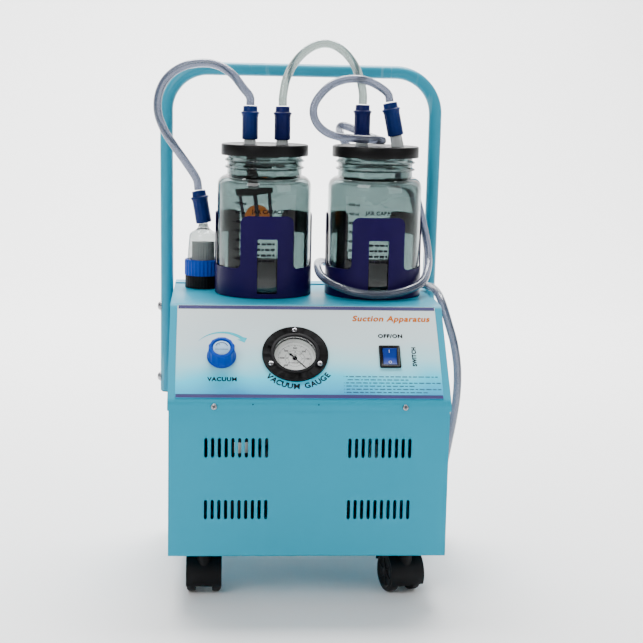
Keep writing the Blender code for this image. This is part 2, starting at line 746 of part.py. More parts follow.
def handle():
    curve = tube_curve("handle_sweep", handle_path(), HANDLE_R, turquoise(), 2)
    mesh = bpy.data.meshes.new_from_object(curve)
    bpy.data.objects.remove(curve)
    bosses = []
    for z, wall in zip(BOLT_Z, (COVER_WIDTH / 2, BOX_HALF)):
        for side in (-1, 1):
            start, stop = wall + GAP, HANDLE_HALF
            boss = turned("boss", [(0, stop), (0.0062, stop), (0.0062, start), (0, start)], 16)
            bosses.append(
                moved(
                    boss, Matrix.Translation((0, HANDLE_Y, z)) @ Matrix.Rotation(side * math.pi / 2, 4, "Y"),
                )
            )
    body = union_of("handle", mesh, bosses, turquoise())
    holes = [moved(hole(0.0033, 0.5, 12), Matrix.Translation((0, HANDLE_Y, z)) @ ALONG_X) for z in BOLT_Z]
    combine(body, cutter("handle_holes", merged("handle_holes", holes)))
    head = HANDLE_HALF + HANDLE_R + GAP
    number = 0
    for z, wall in zip(BOLT_Z, (COVER_WIDTH / 2, BOX_HALF)):
        inner = wall - SHEET - GAP
        bolt = [
            (0, head + 0.0042), (0.0050, head + 0.0042), (0.0056, head + 0.0034), (0.0056, head),
            (0.0028, head), (0.0028, inner),
            (0.0055, inner), (0.0055, inner - 0.005), (0, inner - 0.005),
        ]
        for side in (-1, 1):
            number += 1
            add_object(
                f"handle_bolt_{number}", turned("handle_bolt", bolt, 6, 20), steel(), None,
                (0, HANDLE_Y, z), (0, side * math.pi / 2, 0),
            )


# ---- jars ----------------------------------------------------------------------------------------------


def jar_profile():
    r, wall = JAR_R, JAR_WALL
    bottom = DECK_Z + GAP + SHEET + GAP
    outer = [(0, bottom), (r - 0.008, bottom), (r - 0.0023, bottom + 0.0023), (r, bottom + 0.008)]
    shoulder = [
        (0.0485 + 0.0127 * math.cos(a), 0.498 + 0.013 * math.sin(a)) for a in (
            0, math.pi / 6, math.pi / 3, math.pi / 2,
        )
    ]
    neck = [
        (0.0485, 0.518), (0.0522, 0.5205), (0.0522, 0.5220), (0.0485, 0.5245), (0.0485, 0.527),
        (0.0522, 0.5295), (0.0522, 0.531), (0.0485, 0.5335),
    ]
    mouth = [(0.0485, JAR_MOUTH_Z), (0.0450, JAR_MOUTH_Z)]
    inner = [
        (0.0450, 0.510), (0.0545, 0.503), (r - wall, 0.494), (r - wall, bottom + 0.011),
        (r - 0.009, bottom + 0.005), (0, bottom + 0.005),
    ]
    return outer + shoulder + neck + mouth + inner


def jar_lid(number, centre):
    r = LID_R
    profile = [
        (0, LID_TOP_Z), (r - 0.0015, LID_TOP_Z), (r, LID_TOP_Z - 0.0015), (r, LID_BOTTOM_Z),
        (0.0530, LID_BOTTOM_Z),
        (0.0530, LID_TOP_Z - 0.0025), (0, LID_TOP_Z - 0.0025),
    ]
    body = add_object(
        f"jar_lid_{number}", turned("jar_lid", profile, 32), black_plastic(), None, (*centre, 0),
    )
    holes = []
    for x, _, jar, _ in PORTS.values():
        if jar == number:
            holes.append(moved(hole(0.0096, 0.02, 20), Matrix.Translation((x - centre[0], 0, LID_TOP_Z))))
    combine(body, cutter(f"jar_lid_{number}_ports", merged("lid_ports", holes), None, (*centre, 0)))


def port_frame(name):
    """Where a port's axis stands: its base on the lid's insert, leaning towards -X."""
    x, lean, _, _ = PORTS[name]
    return Matrix.Translation((x, JAR_Y, PORT_ROOT_Z)) @ Matrix.Rotation(-lean, 4, "Y")


def lid_insert(number, centre):
    """The sealing disc under a lid, moulded in one with its two hose ports."""
    z0, z1 = JAR_MOUTH_Z + GAP, LID_TOP_Z - 0.0025 - GAP
    disc = turned("lid_insert", [(0, z1), (0.050, z1), (0.050, z0), (0, z0)], 24)
    moved(disc, Matrix.Translation((*centre, 0)))
    ports, bores = [], []
    for name, (_, _, jar, foot) in PORTS.items():
        if jar == number:
            top = foot - GAP
            spout = [
                (0, top + 0.022),
                (0.0048, top + 0.022),
                (0.0052, top + 0.018),
                (0.0052, top),
                (0.0078, top),
                (0.0084, -0.0018),
                (0, -0.0018),
            ]
            ports.append(moved(turned("port", spout, 14), port_frame(name)))
            bores.append(moved(hole(0.0030, 0.090, 12), port_frame(name)))
    body = union_of(f"lid_insert_{number}", disc, ports, clear_plastic())
    combine(body, cutter(f"lid_insert_{number}_bores", merged("bores", bores)))


CONNECTOR_PROFILE = [
    (0.0056, 0), (0.0098, 0), (0.0104, 0.0012), (0.0105, 0.029), (0.0109, 0.0320), (0.0119, 0.0334),
    (0.0119, 0.0346), (0.0092, 0.0366),
    (0.0088, 0.0420), (0.0078, CONNECTOR_LENGTH), (0, CONNECTOR_LENGTH), (0, 0.026), (0.0056, 0.026),
]


def hose_connectors():
    """Soft push-on sleeves; each is open below, over its port."""
    places = {f"hose_connector_{name}": port_frame(name) @ up(port[3]) for name, port in PORTS.items()}
    places["filter_connector"] = filter_port_frame() @ up(0.0016)
    for name, place in places.items():
        sleeve = moved(turned("hose_connector", CONNECTOR_PROFILE, 14, 40), place)
        add_object(name, sleeve, blue_rubber())


def jar_holder(number, centre, turn):
    r, t, z0 = HOLDER_R, SHEET, DECK_Z + GAP
    profile = [(0, z0), (r, z0), (r, HOLDER_TOP_Z), (r - t, HOLDER_TOP_Z), (r - t, z0 + t), (0, z0 + t)]
    body = add_object(
        f"jar_holder_{number}", turned("jar_holder", profile, 40), indigo(), None, (*centre, 0),
        (0, 0, turn),
    )
    half = r * math.sin(math.radians(27.5))
    corner, foot = 0.010, 0.005
    low, high = HOLDER_BAND_Z, HOLDER_TOP_Z
    gap_outline = (
        arc(half - foot, low + foot, foot, 270, 360, 3)
        + arc(half + corner, high - corner, corner, 180, 90, 4)
        + [(half + corner, high + 0.01), (-half - corner, high + 0.01)]
        + arc(-half - corner, high - corner, corner, 90, 0, 4)
        + arc(-half + foot, low + foot, foot, 180, 270, 3)
    )
    window = round_rect(0.026, 0.068, 0.0015, 1, (0, 0.399))
    cuts = []
    for degrees, outline in [(a, gap_outline) for a in (60, 180, 300)] + [(a, window) for a in (0, 120, 240)]:
        stand = Matrix.Rotation(math.radians(degrees), 4, "Z") @ Matrix.Translation((0, -0.045, 0)) @ ALONG_Y
        cuts.append(moved(extruded("holder_cut", outline, 0.030), stand))
    combine(
        body,
        cutter(f"jar_holder_{number}_cuts", merged("holder_cuts", cuts), None, (*centre, 0), (0, 0, turn)),
    )


def jars():
    for number, (x, turn) in enumerate(zip(JAR_X, HOLDER_TURN), 1):
        centre = (x, JAR_Y)
        jar_holder(number, centre, turn)
        add_object(f"jar_{number}", turned("jar", jar_profile(), 28), glass(), None, (*centre, 0))
        jar_lid(number, centre)
        lid_insert(number, centre)


def float_valve():
    """Overflow valve under port a: a slotted cage with a ball that rises on the liquid."""
    top = empty("float_frame", FLOAT_TOP, (0, -FLOAT_TILT, 0))
    seat, floor = -0.059, -0.110
    profile = [
        (0.0032, 0), (0.0080, 0), (0.0080, -0.048), (0.0245, -0.049), (0.0245, seat + 0.001),
        (0.0235, seat), (0.0205, floor + 0.001), (0.0200, floor),
        (0.0060, floor), (0.0060, floor + 0.0035), (0.0176, floor + 0.0045), (0.0205, seat), (0.0040, seat),
        (0.0032, seat + 0.003),
    ]
    cage = add_object("float_cage", turned("float_cage", profile, 20), black_plastic(), top)
    slots = []
    for degrees in (30, 90, 150):
        slot = block("cage_slot", (-0.03, -0.0070, floor + 0.007), (0.03, 0.0070, seat - 0.001))
        slots.append(moved(slot, Matrix.Rotation(math.radians(degrees), 4, "Z")))
    for number, slot in enumerate(slots, 1):
        combine(cage, cutter(f"cage_slot_{number}", slot, top))
    bm = bmesh.new()
    bmesh.ops.create_uvsphere(bm, u_segments=16, v_segments=10, radius=BALL_R)
    add_object("float_ball", finish_mesh(bm, "float_ball", 60), orange_plastic(), top, (0, 0, -BALL_DROP))


# ---- filter ------------------------------------------------------------------------------------------


def filter_port_frame():
    x, y = FILTER_AT
    return Matrix.Translation((x + 0.0010, y, 0.4415)) @ Matrix.Rotation(-FILTER_LEAN, 4, "Y")


def bacterial_filter():
    x, y = FILTER_AT
    z0 = DECK_Z + GAP
    base = [
        (0, 0.338), (0.0045, 0.338), (0.0045, z0), (0.0238, z0), (0.0240, z0 + 0.0005), (0.0240, 0.3730),
        (0.0195, 0.3730),
        (0.0195, 0.3800), (0.0160, 0.3800), (0.0160, 0.3680), (0, 0.3680),
    ]
    add_object("filter_base", turned("filter_base", base, 24), black_plastic(), None, (x, y, 0))
    ring = [(0.0215, 0.3734), (0.0246, 0.3734), (0.0246, 0.3935), (0.0238, 0.3945), (0.0215, 0.3945)]
    add_object("filter_ring", turned("filter_ring", ring, 24), royal_plastic(), None, (x, y, 0))
    cup = [
        (0.0208, 0.3805), (0.0208, 0.400), (0.0186, 0.4265), (0.0140, 0.4310), (0.0072, 0.4360),
        (0.0064, 0.4405), (0, 0.4405),
    ]
    inner = [
        (0, 0.4345), (0.0050, 0.4330), (0.0125, 0.4285), (0.0171, 0.4250), (0.0193, 0.400), (0.0193, 0.3805),
    ]
    spout = turned(
        "cup_spout", [(0, 0.0205), (0.0048, 0.0205), (0.0052, 0.017), (0.0052, -0.004), (0, -0.004)], 14,
    )
    shell = moved(turned("filter_cup", cup + inner, 24), Matrix.Translation((x, y, 0)))
    body = union_of("filter_cup", shell, [moved(spout, filter_port_frame())], clear_plastic())
    bore = moved(hole(0.0028, 0.060, 12), filter_port_frame())
    combine(body, cutter("filter_bore", bore))
    element = [(0, 0.3684), (0.0150, 0.3684), (0.0150, 0.4180), (0, 0.4180)]
    add_object("filter_element", turned("filter_element", element, 18), white_plastic(), None, (x, y, 0))


# ---- hoses --------------------------------------------------------------------------------------------


def hoses():
    tube_curve("filter_hose", smooth_route(FILTER_HOSE, 0.012), HOSE_R, hose_plastic())
    tube_curve("transfer_hose", smooth_route(TRANSFER_HOSE, 0.012), HOSE_R, hose_plastic())
    tube_curve("patient_hose", smooth_route(PATIENT_HOSE, 0.0235), PATIENT_HOSE_R, hose_plastic())
    ring = [
        (COIL_INNER_R, 0.0004), (COIL_OUTER_R, 0.0004), (COIL_OUTER_R, COIL_HEIGHT),
        (COIL_INNER_R, COIL_HEIGHT),
    ]
    add_object(
        "patient_hose_coil", turned("patient_hose_coil", ring, 28), hose_plastic(), None, (*COIL_CENTRE, 0),
    )
    tip = [
        (0, 0), (0.0040, 0), (0.0055, 0.004), (0.0078, 0.006), (0.0078, 0.030), (0.0060, 0.034), (0, 0.034),
    ]
    tip_mesh = moved(turned("patient_fitting", tip, 16), ALONG_X)
    leave = math.radians(FITTING_ANGLE)
    x = COIL_CENTRE[0] + COIL_MEAN_R * math.cos(leave) - FITTING_REACH * math.sin(leave)
    y = COIL_CENTRE[1] + COIL_MEAN_R * math.sin(leave) + FITTING_REACH * math.cos(leave)
    turn = leave + math.pi / 2
    add_object("patient_fitting", tip_mesh, clear_plastic(), None, (x, y, 0.0082), (0, 0, turn))


# ---- casters -------------------------------------------------------------------------------------------


def caster(name, side, end, heading):
    turn = math.radians(heading)
    swivel = empty(f"caster_{name}_swivel", (side * CASTER_X, end * CASTER_Y, 0), (0, 0, turn))
    axle_y, axle_z = CASTER_TRAIL, WHEEL_R
    half = WHEEL_GAP / 2 + WHEEL_WIDTH
    shell_r, inner_r = 0.0282, WHEEL_R + 0.0010
    cover = arc(0, 0, shell_r, 205, 20, 10) + arc(0, 0, inner_r, 20, 205, 10)
    to_side = Matrix(((0, 0, 1, 0), (1, 0, 0, axle_y), (0, 1, 0, axle_z), (0, 0, 0, 1)))
    hood = moved(extruded("caster_hood", cover, 2 * half), to_side @ Matrix.Translation((0, 0, -half)))
    web_half = WHEEL_GAP / 2 - 0.0008
    web_outline = arc(0, 0, inner_r + 0.0011, 201, 25, 8) + arc(0, 0, 0.0080, 12, -145, 6)
    web = moved(
        extruded("caster_web", web_outline, 2 * web_half), to_side @ Matrix.Translation((0, 0, -web_half)),
    )
    stem = turned(
        "caster_stem",
        [
            (0, 0.0720), (0.0085, 0.0720), (0.0085, BOX_BOTTOM_Z + SHEET + GAP),
            (0.0055, BOX_BOTTOM_Z + SHEET + GAP), (0.0055, BOX_BOTTOM_Z - GAP),
            (0.0120, BOX_BOTTOM_Z - GAP), (0.0120, 0.0590), (0.0085, 0.0570), (0.0085, 0.0350), (0, 0.0350),
        ],
        16,
    )
    body = union_of(f"caster_{name}_hood", hood, [web, stem], black_plastic(), swivel)
    axle_hole = moved(hole(0.0046, 0.06, 14), Matrix.Translation((0, axle_y, axle_z)) @ ALONG_X)
    combine(body, cutter(f"caster_{name}_axle_hole", axle_hole, swivel))
    w0, w1 = WHEEL_GAP / 2, half - 0.0005
    wheels = [
        (0, -w1), (0.0215, -w1), (WHEEL_R, -w1 + 0.0030), (WHEEL_R, -w0 - 0.001), (WHEEL_R - 0.001, -w0),
        (0.0041, -w0),
        (0.0041, w0), (WHEEL_R - 0.001, w0), (WHEEL_R, w0 + 0.001), (WHEEL_R, w1 - 0.0030), (0.0215, w1),
        (0, w1),
    ]
    axle = moved(turned("caster_wheels", wheels, 24), ALONG_X)
    add_object(f"caster_{name}_wheels", axle, black_plastic(), swivel, (0, axle_y, axle_z))


# ---- inside the cabinet ----------------------------------------------------------------------------------

PUMP_AXIS = (0.020, 0.132)  # y and z of the motor's shaft
MOTOR_X = (-0.010, 0.085)
MOTOR_R = 0.042


def pump():
    y, z = PUMP_AXIS
    floor = BOX_BOTTOM_Z + SHEET + GAP
    top = 0.0800
    bracket = [
        (-0.060, floor), (-0.058, floor), (-0.058, top - 0.002), (0.058, top - 0.002), (0.058, floor),
        (0.060, floor), (0.060, top), (-0.060, top),
    ]
    place = Matrix.Translation((0, y, 0))
    add_object("pump_bracket", moved(prism_along_x("pump_bracket", bracket, 0.105), place), steel())
    x0, x1 = MOTOR_X
    shell = [
        (0, x0), (0.030, x0), (MOTOR_R, x0 + 0.008), (MOTOR_R, x1 - 0.008), (0.030, x1), (0.0046, x1),
        (0.0046, x1 - 0.030), (0, x1 - 0.030),
    ]
    motor = moved(turned("pump_motor", shell, 22), Matrix.Translation((0, y, z)) @ ALONG_X)
    foot = block("motor_foot", (x0 + 0.015, y - 0.030, top + GAP), (x1 - 0.015, y + 0.030, z - 0.030))
    union_of("pump_motor", motor, [foot], aluminium())
    crank = block("pump_head", (-0.085, y - 0.036, top + GAP), (x0 - GAP, y + 0.036, z + 0.030), 0.004)
    barrel = moved(
        turned("barrel", [(0, 0.052), (0.026, 0.052), (0.026, 0.020), (0, 0.020)], 24),
        Matrix.Translation((-0.048, y, z)),
    )
    cap = block("head_cap", (-0.078, y - 0.030, z + 0.050), (-0.018, y + 0.030, z + 0.064), 0.003)
    union_of("pump_head", crank, [barrel, cap], aluminium())
    hub = [(0, -0.022), (0.004, -0.022), (0.004, 0.004), (0.011, 0.004), (0.011, 0.018), (0, 0.018)]
    blades = []
    for i in range(6):
        blade = block("blade", (-0.0008, 0.009, 0.005), (0.0008, 0.036, 0.017))
        blades.append(moved(blade, Matrix.Rotation(i * math.pi / 3, 4, "Z")))
    spin = empty("fan_axis", (x1, y, z), (0, math.pi / 2, 0))
    union_of("pump_fan", turned("pump_fan", hub, 18), blades, white_plastic(), spin)
    can = [
        (0, 0), (0.0165, 0), (0.0180, 0.0015), (0.0180, 0.143), (0.0165, 0.1445), (0.007, 0.1445),
        (0.007, 0.152), (0, 0.152),
    ]
    place = (-0.083, BOX_FRONT_Y + 0.032, BOX_BOTTOM_Z + SHEET + GAP)
    add_object("exhaust_muffler", turned("exhaust_muffler", can, 16), white_plastic(), None, place)


# ---- the whole object ------------------------------------------------------------------------------


def build():
    clear_scene()
    panel = panel_empty()
    lower_cabinet()
    top_cover(panel)
    rear_panel()
    power_inlet()
    cover_screws()
    control_overlay(panel)
    gauge(panel)
    regulator(panel)
    power_switch(panel)
    handle()
    jars()
    float_valve()
    hose_connectors()
    bacterial_filter()
    hoses()
    for name, (side, end, heading) in CASTERS.items():
        caster(name, side, end, heading)
    pump()


build()
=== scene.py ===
"""Looks of the suction pump: materials, printed marks and finely shaped pieces over the CAD frame."""

import json
import math

import bmesh
import bpy
from mathutils import Matrix, Vector


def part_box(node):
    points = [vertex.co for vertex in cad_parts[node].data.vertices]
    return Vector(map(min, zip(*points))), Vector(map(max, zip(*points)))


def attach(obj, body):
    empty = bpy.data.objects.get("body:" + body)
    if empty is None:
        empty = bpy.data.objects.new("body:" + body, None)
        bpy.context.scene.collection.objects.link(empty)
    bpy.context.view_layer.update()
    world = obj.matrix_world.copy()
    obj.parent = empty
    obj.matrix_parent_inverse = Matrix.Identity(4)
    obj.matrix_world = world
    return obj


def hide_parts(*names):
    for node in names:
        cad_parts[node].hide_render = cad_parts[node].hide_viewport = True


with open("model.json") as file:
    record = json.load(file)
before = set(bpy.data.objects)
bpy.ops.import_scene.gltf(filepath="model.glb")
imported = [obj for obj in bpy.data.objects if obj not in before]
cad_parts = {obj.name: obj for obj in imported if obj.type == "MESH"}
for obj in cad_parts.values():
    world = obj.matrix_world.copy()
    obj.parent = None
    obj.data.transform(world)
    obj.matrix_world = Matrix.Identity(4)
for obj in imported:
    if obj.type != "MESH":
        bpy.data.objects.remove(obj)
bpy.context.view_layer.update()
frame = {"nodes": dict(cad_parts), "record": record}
RECORD = frame["record"]
JOINTS = {j["name"]: j for j in RECORD["behaviour"]["joints"]}
ROOT = "cabinet"
scene = bpy.context.scene


# ---- camera and lights -----------------------------------------------------------------


def make_camera():
    """A camera in front of the pump, a little to its left and higher than its jars, looking slightly down."""
    yaw, pitch, roll = (math.radians(a) for a in (4.11, 9.48, 1.19))
    ahead = Vector((math.sin(yaw) * math.cos(pitch), math.cos(yaw) * math.cos(pitch), -math.sin(pitch)))
    right = Vector((math.cos(yaw), -math.sin(yaw), 0))
    above = right.cross(ahead)
    turned_right = right * math.cos(roll) + above * math.sin(roll)
    turned_up = above * math.cos(roll) - right * math.sin(roll)
    data = bpy.data.cameras.new("camera")
    data.lens, data.sensor_width = 80.67, 36
    data.clip_end = 50
    cam = bpy.data.objects.new("camera", data)
    turn = Matrix((turned_right, turned_up, -ahead)).transposed()
    cam.matrix_world = Matrix.Translation((-0.109, -1.8324, 0.6332)) @ turn.to_4x4()
    scene.collection.objects.link(cam)
    scene.camera = cam


def area_light(name, place, aim, size, power, size_y=None):
    data = bpy.data.lights.new(name, "AREA")
    data.energy, data.size = power, size
    if size_y:
        data.shape, data.size_y = "RECTANGLE", size_y
    lamp = bpy.data.objects.new(name, data)
    lamp.location = place
    lamp.rotation_euler = (Vector(aim) - Vector(place)).to_track_quat("-Z", "Y").to_euler()
    scene.collection.objects.link(lamp)


make_camera()


# ---- materials -------------------------------------------------------------------------


def finish(name, colour, rough=0.4, metal=0.0, vary=0.06, vary_scale=9.0, grain=0.03, grain_scale=900.0,
           rough_vary=0.08, rough_scale=14.0, stretch=(1, 1, 1), distance=0.0004, **sockets):
    """A Principled material whose colour, roughness and surface height vary with noise."""
    made = bpy.data.materials.new(name)
    made.use_nodes = True
    nodes, links = made.node_tree.nodes, made.node_tree.links
    shader = nodes["Principled BSDF"]
    shader.inputs["Metallic"].default_value = metal
    for socket, value in sockets.items():
        shader.inputs[socket.replace("_", " ")].default_value = value
    place = nodes.new("ShaderNodeTexCoord")
    scale = nodes.new("ShaderNodeMapping")
    scale.inputs["Scale"].default_value = stretch
    links.new(place.outputs["Object"], scale.inputs["Vector"])
    broad = nodes.new("ShaderNodeTexNoise")
    broad.inputs["Scale"].default_value = vary_scale
    broad.inputs["Detail"].default_value = 5
    links.new(scale.outputs["Vector"], broad.inputs["Vector"])
    ramp = nodes.new("ShaderNodeValToRGB")
    ramp.color_ramp.elements[0].position, ramp.color_ramp.elements[1].position = 0.3, 0.7
    ramp.color_ramp.elements[0].color = (*[c * (1 - vary) for c in colour], 1)
    ramp.color_ramp.elements[1].color = (*[min(c * (1 + vary), 1) for c in colour], 1)
    links.new(broad.outputs["Fac"], ramp.inputs["Fac"])
    links.new(ramp.outputs["Color"], shader.inputs["Base Color"])
    smudge = nodes.new("ShaderNodeTexNoise")
    smudge.inputs["Scale"].default_value = rough_scale
    smudge.inputs["Detail"].default_value = 6
    links.new(place.outputs["Object"], smudge.inputs["Vector"])
    spread = nodes.new("ShaderNodeMapRange")
    spread.inputs["From Min"].default_value, spread.inputs["From Max"].default_value = 0.3, 0.7
    spread.inputs["To Min"].default_value = max(rough - rough_vary, 0.0)
    spread.inputs["To Max"].default_value = min(rough + rough_vary, 1.0)
    links.new(smudge.outputs["Fac"], spread.inputs["Value"])
    links.new(spread.outputs["Result"], shader.inputs["Roughness"])
    fine = nodes.new("ShaderNodeTexNoise")
    fine.inputs["Scale"].default_value = grain_scale
    fine.inputs["Detail"].default_value = 3
    links.new(scale.outputs["Vector"], fine.inputs["Vector"])
    height = nodes.new("ShaderNodeBump")
    height.inputs["Strength"].default_value = grain
    height.inputs["Distance"].default_value = distance
    links.new(fine.outputs["Fac"], height.inputs["Height"])
    links.new(height.outputs["Normal"], shader.inputs["Normal"])
    return made


TURQUOISE = (0.004, 0.290, 0.430)
MATT = {"Specular_IOR_Level": 0.14}
POWDER = finish(
    "powder_coat", TURQUOISE, 0.42, 0, 0.03, 5, 0.08, 420, 0.06, distance=0.0003, Specular_IOR_Level=0.18,
)
INDIGO = finish(
    "indigo_paint", (0.008, 0.0022, 0.052), 0.34, 0, 0.06, 40, 0.06, 420, 0.02, rough_scale=40,
    distance=0.0003, Specular_IOR_Level=0.12,
)
LID_BLACK = finish("lid_black", (0.003, 0.003, 0.0035), 0.40, 0, 0.3, 18, 0.12, 700, 0.1, **MATT)
BLACK = finish("black_plastic", (0.004, 0.004, 0.005), 0.42, 0, 0.25, 20, 0.12, 1100, 0.1, **MATT)
TREAD = finish("tread_plastic", (0.010, 0.010, 0.011), 0.5, 0, 0.35, 30, 0.25, 600, 0.14, **MATT)
FLANGE = finish("gauge_black", (0.006, 0.006, 0.007), 0.5, 0, 0.2, 30, 0.3, 1500, 0.06, **MATT)
BLUE_RUBBER = finish("blue_rubber", (0.001, 0.013, 0.100), 0.40, 0, 0.16, 60, 0.12, 900, 0.1, **MATT)
NAVY_RUBBER = finish("navy_rubber", (0.002, 0.005, 0.070), 0.40, 0, 0.16, 60, 0.12, 900, 0.1, **MATT)
ROYAL = finish("royal_blue", (0.0005, 0.045, 0.36), 0.34, 0, 0.08, 40, 0.06, 800, 0.08, **MATT)
GLASS = finish(
    "jar_glass", (0.245, 0.31, 0.305), 0.02, 0, 0.02, 20, 0.20, 26, 0.015, distance=0.0012,
    Transmission_Weight=1.0, IOR=1.5,
)
CLEAR = finish(
    "clear_plastic", (0.66, 0.69, 0.68), 0.10, 0, 0.04, 40, 0.12, 160, 0.06, Transmission_Weight=0.95,
    IOR=1.45,
)
MILKY = finish(
    "milky_plastic", (0.60, 0.64, 0.64), 0.35, 0, 0.05, 50, 0.1, 400, 0.1, Transmission_Weight=0.4, IOR=1.47,
)
PVC = finish(
    "pvc_bluish", (0.15, 0.17, 0.235), 0.18, 0, 0.06, 26, 0.10, 120, 0.06, Transmission_Weight=0.60, IOR=1.38,
    Coat_Weight=0.4, Coat_Roughness=0.06,
)
PVC_GREEN = finish(
    "pvc_clear", (0.30, 0.36, 0.34), 0.13, 0, 0.06, 26, 0.10, 120, 0.06, Transmission_Weight=0.66, IOR=1.38,
    Coat_Weight=0.4, Coat_Roughness=0.06,
)
STEEL = finish("zinc_plated", (0.34, 0.34, 0.36), 0.26, 1.0, 0.12, 120, 0.25, 1800, 0.14)
BRACKET = finish("galvanised", (0.50, 0.52, 0.54), 0.42, 1.0, 0.2, 60, 0.2, 300, 0.15)
CASTING = finish("cast_aluminium", (0.42, 0.43, 0.44), 0.5, 1.0, 0.15, 50, 0.6, 700, 0.12)
BRASS = finish("brass", (0.66, 0.47, 0.20), 0.28, 1.0, 0.12, 60, 0.2, 1200, 0.12)
WHITE = finish("white_plastic", (0.80, 0.81, 0.79), 0.4, 0, 0.05, 30, 0.1, 700, 0.1)
CHARCOAL = finish("charcoal_plastic", (0.02, 0.02, 0.022), 0.6, 0, 0.2, 30, 0.2, 500, 0.1, **MATT)
PAPER = finish(
    "filter_paper", (0.60, 0.62, 0.60), 0.8, 0, 0.14, 80, 0.7, 240, 0.1, stretch=(1, 1, 0.08), distance=0.001,
)
DIAL = finish("dial_card", (0.88, 0.89, 0.87), 0.45, 0, 0.03, 60, 0.05, 900, 0.08)
# painted glow: the orange plastic emits light of its own, so the float bead glows though it is no lamp
ORANGE = finish(
    "orange_plastic", (1.0, 0.26, 0.004), 0.36, 0, 0.08, 50, 0.1, 500, 0.1, Specular_IOR_Level=0.3,
    Emission_Color=(1.0, 0.22, 0.002, 1), Emission_Strength=0.7,
)
NAVY = finish("navy_plastic", (0.006, 0.016, 0.085), 0.38, 0, 0.15, 60, 0.1, 700, 0.1, **MATT)
INK = finish("black_ink", (0.004, 0.004, 0.007), 0.55, 0, 0.2, 300, 0.03, 1500, 0.05, Specular_IOR_Level=0.1)
GREY_INK = finish("grey_ink", (0.045, 0.085, 0.14), 0.55, 0, 0.2, 300, 0.03, 1500, 0.05,
    Specular_IOR_Level=0.1)
ORANGE_INK = finish(
    "orange_ink", (0.52, 0.125, 0.0), 0.55, 0, 0.06, 200, 0.03, 1500, 0.05, Specular_IOR_Level=0.1,
)
CYAN_INK = finish("cyan_ink", (0.01, 0.50, 0.62), 0.5, 0, 0.08, 200, 0.03, 1500, 0.06, Specular_IOR_Level=0.2)
PALE_INK = finish("pale_ink", (0.72, 0.76, 0.80), 0.5, 0, 0.05, 200, 0.03, 1500, 0.06, Specular_IOR_Level=0.2)
KNOB_CARD = finish("knob_card", (0.30, 0.50, 0.72), 0.5, 0, 0.1, 200, 0.03, 1500, 0.06,
    Specular_IOR_Level=0.2)
WINDOW = finish(
    "window_glass", (0.97, 0.98, 0.98), 0.015, 0, 0.01, 60, 0.02, 60, 0.01, Transmission_Weight=1.0, IOR=1.18,
)


def handle_finish():
    """Powder coat with faint, lighter slanting streaks mixed into its colour on the tube."""
    made = finish(
        "handle_coat", (0.010, 0.270, 0.400), 0.34, 0, 0.03, 6, 0.10, 420, 0.06, distance=0.0003,
        Specular_IOR_Level=0.4,
    )
    nodes, links = made.node_tree.nodes, made.node_tree.links
    shader = nodes["Principled BSDF"]
    base = shader.inputs["Base Color"].links[0].from_socket
    place = nodes.new("ShaderNodeTexCoord")
    skew = nodes.new("ShaderNodeMapping")
    skew.inputs["Rotation"].default_value = (0, math.radians(38), 0)
    skew.inputs["Scale"].default_value = (1, 0.4, 0.10)
    links.new(place.outputs["Object"], skew.inputs["Vector"])
    streak = nodes.new("ShaderNodeTexNoise")
    streak.inputs["Scale"].default_value = 110
    streak.inputs["Detail"].default_value = 2
    links.new(skew.outputs["Vector"], streak.inputs["Vector"])
    sharp = nodes.new("ShaderNodeMapRange")
    sharp.inputs["From Min"].default_value, sharp.inputs["From Max"].default_value = 0.60, 0.72
    sharp.inputs["To Max"].default_value = 0.28
    links.new(streak.outputs["Fac"], sharp.inputs["Value"])
    blend = nodes.new("ShaderNodeMix")
    blend.data_type = "RGBA"
    links.new(sharp.outputs["Result"], blend.inputs["Factor"])
    links.new(base, blend.inputs[6])
    blend.inputs[7].default_value = (0.30, 0.58, 0.66, 1)
    links.new(blend.outputs[2], shader.inputs["Base Color"])
    return made


def overlay_finish(low, high):
    """Printed film: grey-white at the top fading to cyan and blue at the bottom, by height."""
    made = finish(
        "printed_film", (0.6, 0.68, 0.68), 0.34, grain=0.04, grain_scale=500, rough_vary=0.05,
        Specular_IOR_Level=0.35,
    )
    nodes, links = made.node_tree.nodes, made.node_tree.links
    shader = nodes["Principled BSDF"]
    place = nodes.new("ShaderNodeTexCoord")
    split = nodes.new("ShaderNodeSeparateXYZ")
    links.new(place.outputs["Object"], split.inputs["Vector"])
    cloud = nodes.new("ShaderNodeTexNoise")
    cloud.inputs["Scale"].default_value = 9
    links.new(place.outputs["Object"], cloud.inputs["Vector"])
    wave = nodes.new("ShaderNodeMapRange")
    wave.inputs["To Min"].default_value, wave.inputs["To Max"].default_value = -0.16, 0.16
    links.new(cloud.outputs["Fac"], wave.inputs["Value"])
    rise = nodes.new("ShaderNodeMapRange")
    rise.inputs["From Min"].default_value, rise.inputs["From Max"].default_value = low, high
    links.new(split.outputs["Z"], rise.inputs["Value"])
    add = nodes.new("ShaderNodeMath")
    add.operation = "ADD"
    links.new(rise.outputs["Result"], add.inputs[0])
    links.new(wave.outputs["Result"], add.inputs[1])
    ramp = nodes.new("ShaderNodeValToRGB")
    stops = [(0.0, (0.0, 0.20, 0.48)), (0.08, (0.0, 0.42, 0.70)), (0.20, (0.02, 0.62, 0.86)),
        (0.38, (0.36, 0.74, 0.82)),
             (0.58, (0.58, 0.74, 0.77)), (1.0, (0.66, 0.76, 0.77))]
    while len(ramp.color_ramp.elements) < len(stops):
        ramp.color_ramp.elements.new(0.5)
    for element, (at, colour) in zip(ramp.color_ramp.elements, stops):
        element.position, element.color = at, (*colour, 1)
    links.new(add.outputs["Value"], ramp.inputs["Fac"])
    links.new(ramp.outputs["Color"], shader.inputs["Base Color"])
    return made


# ---- modelling tools -------------------------------------------------------------------


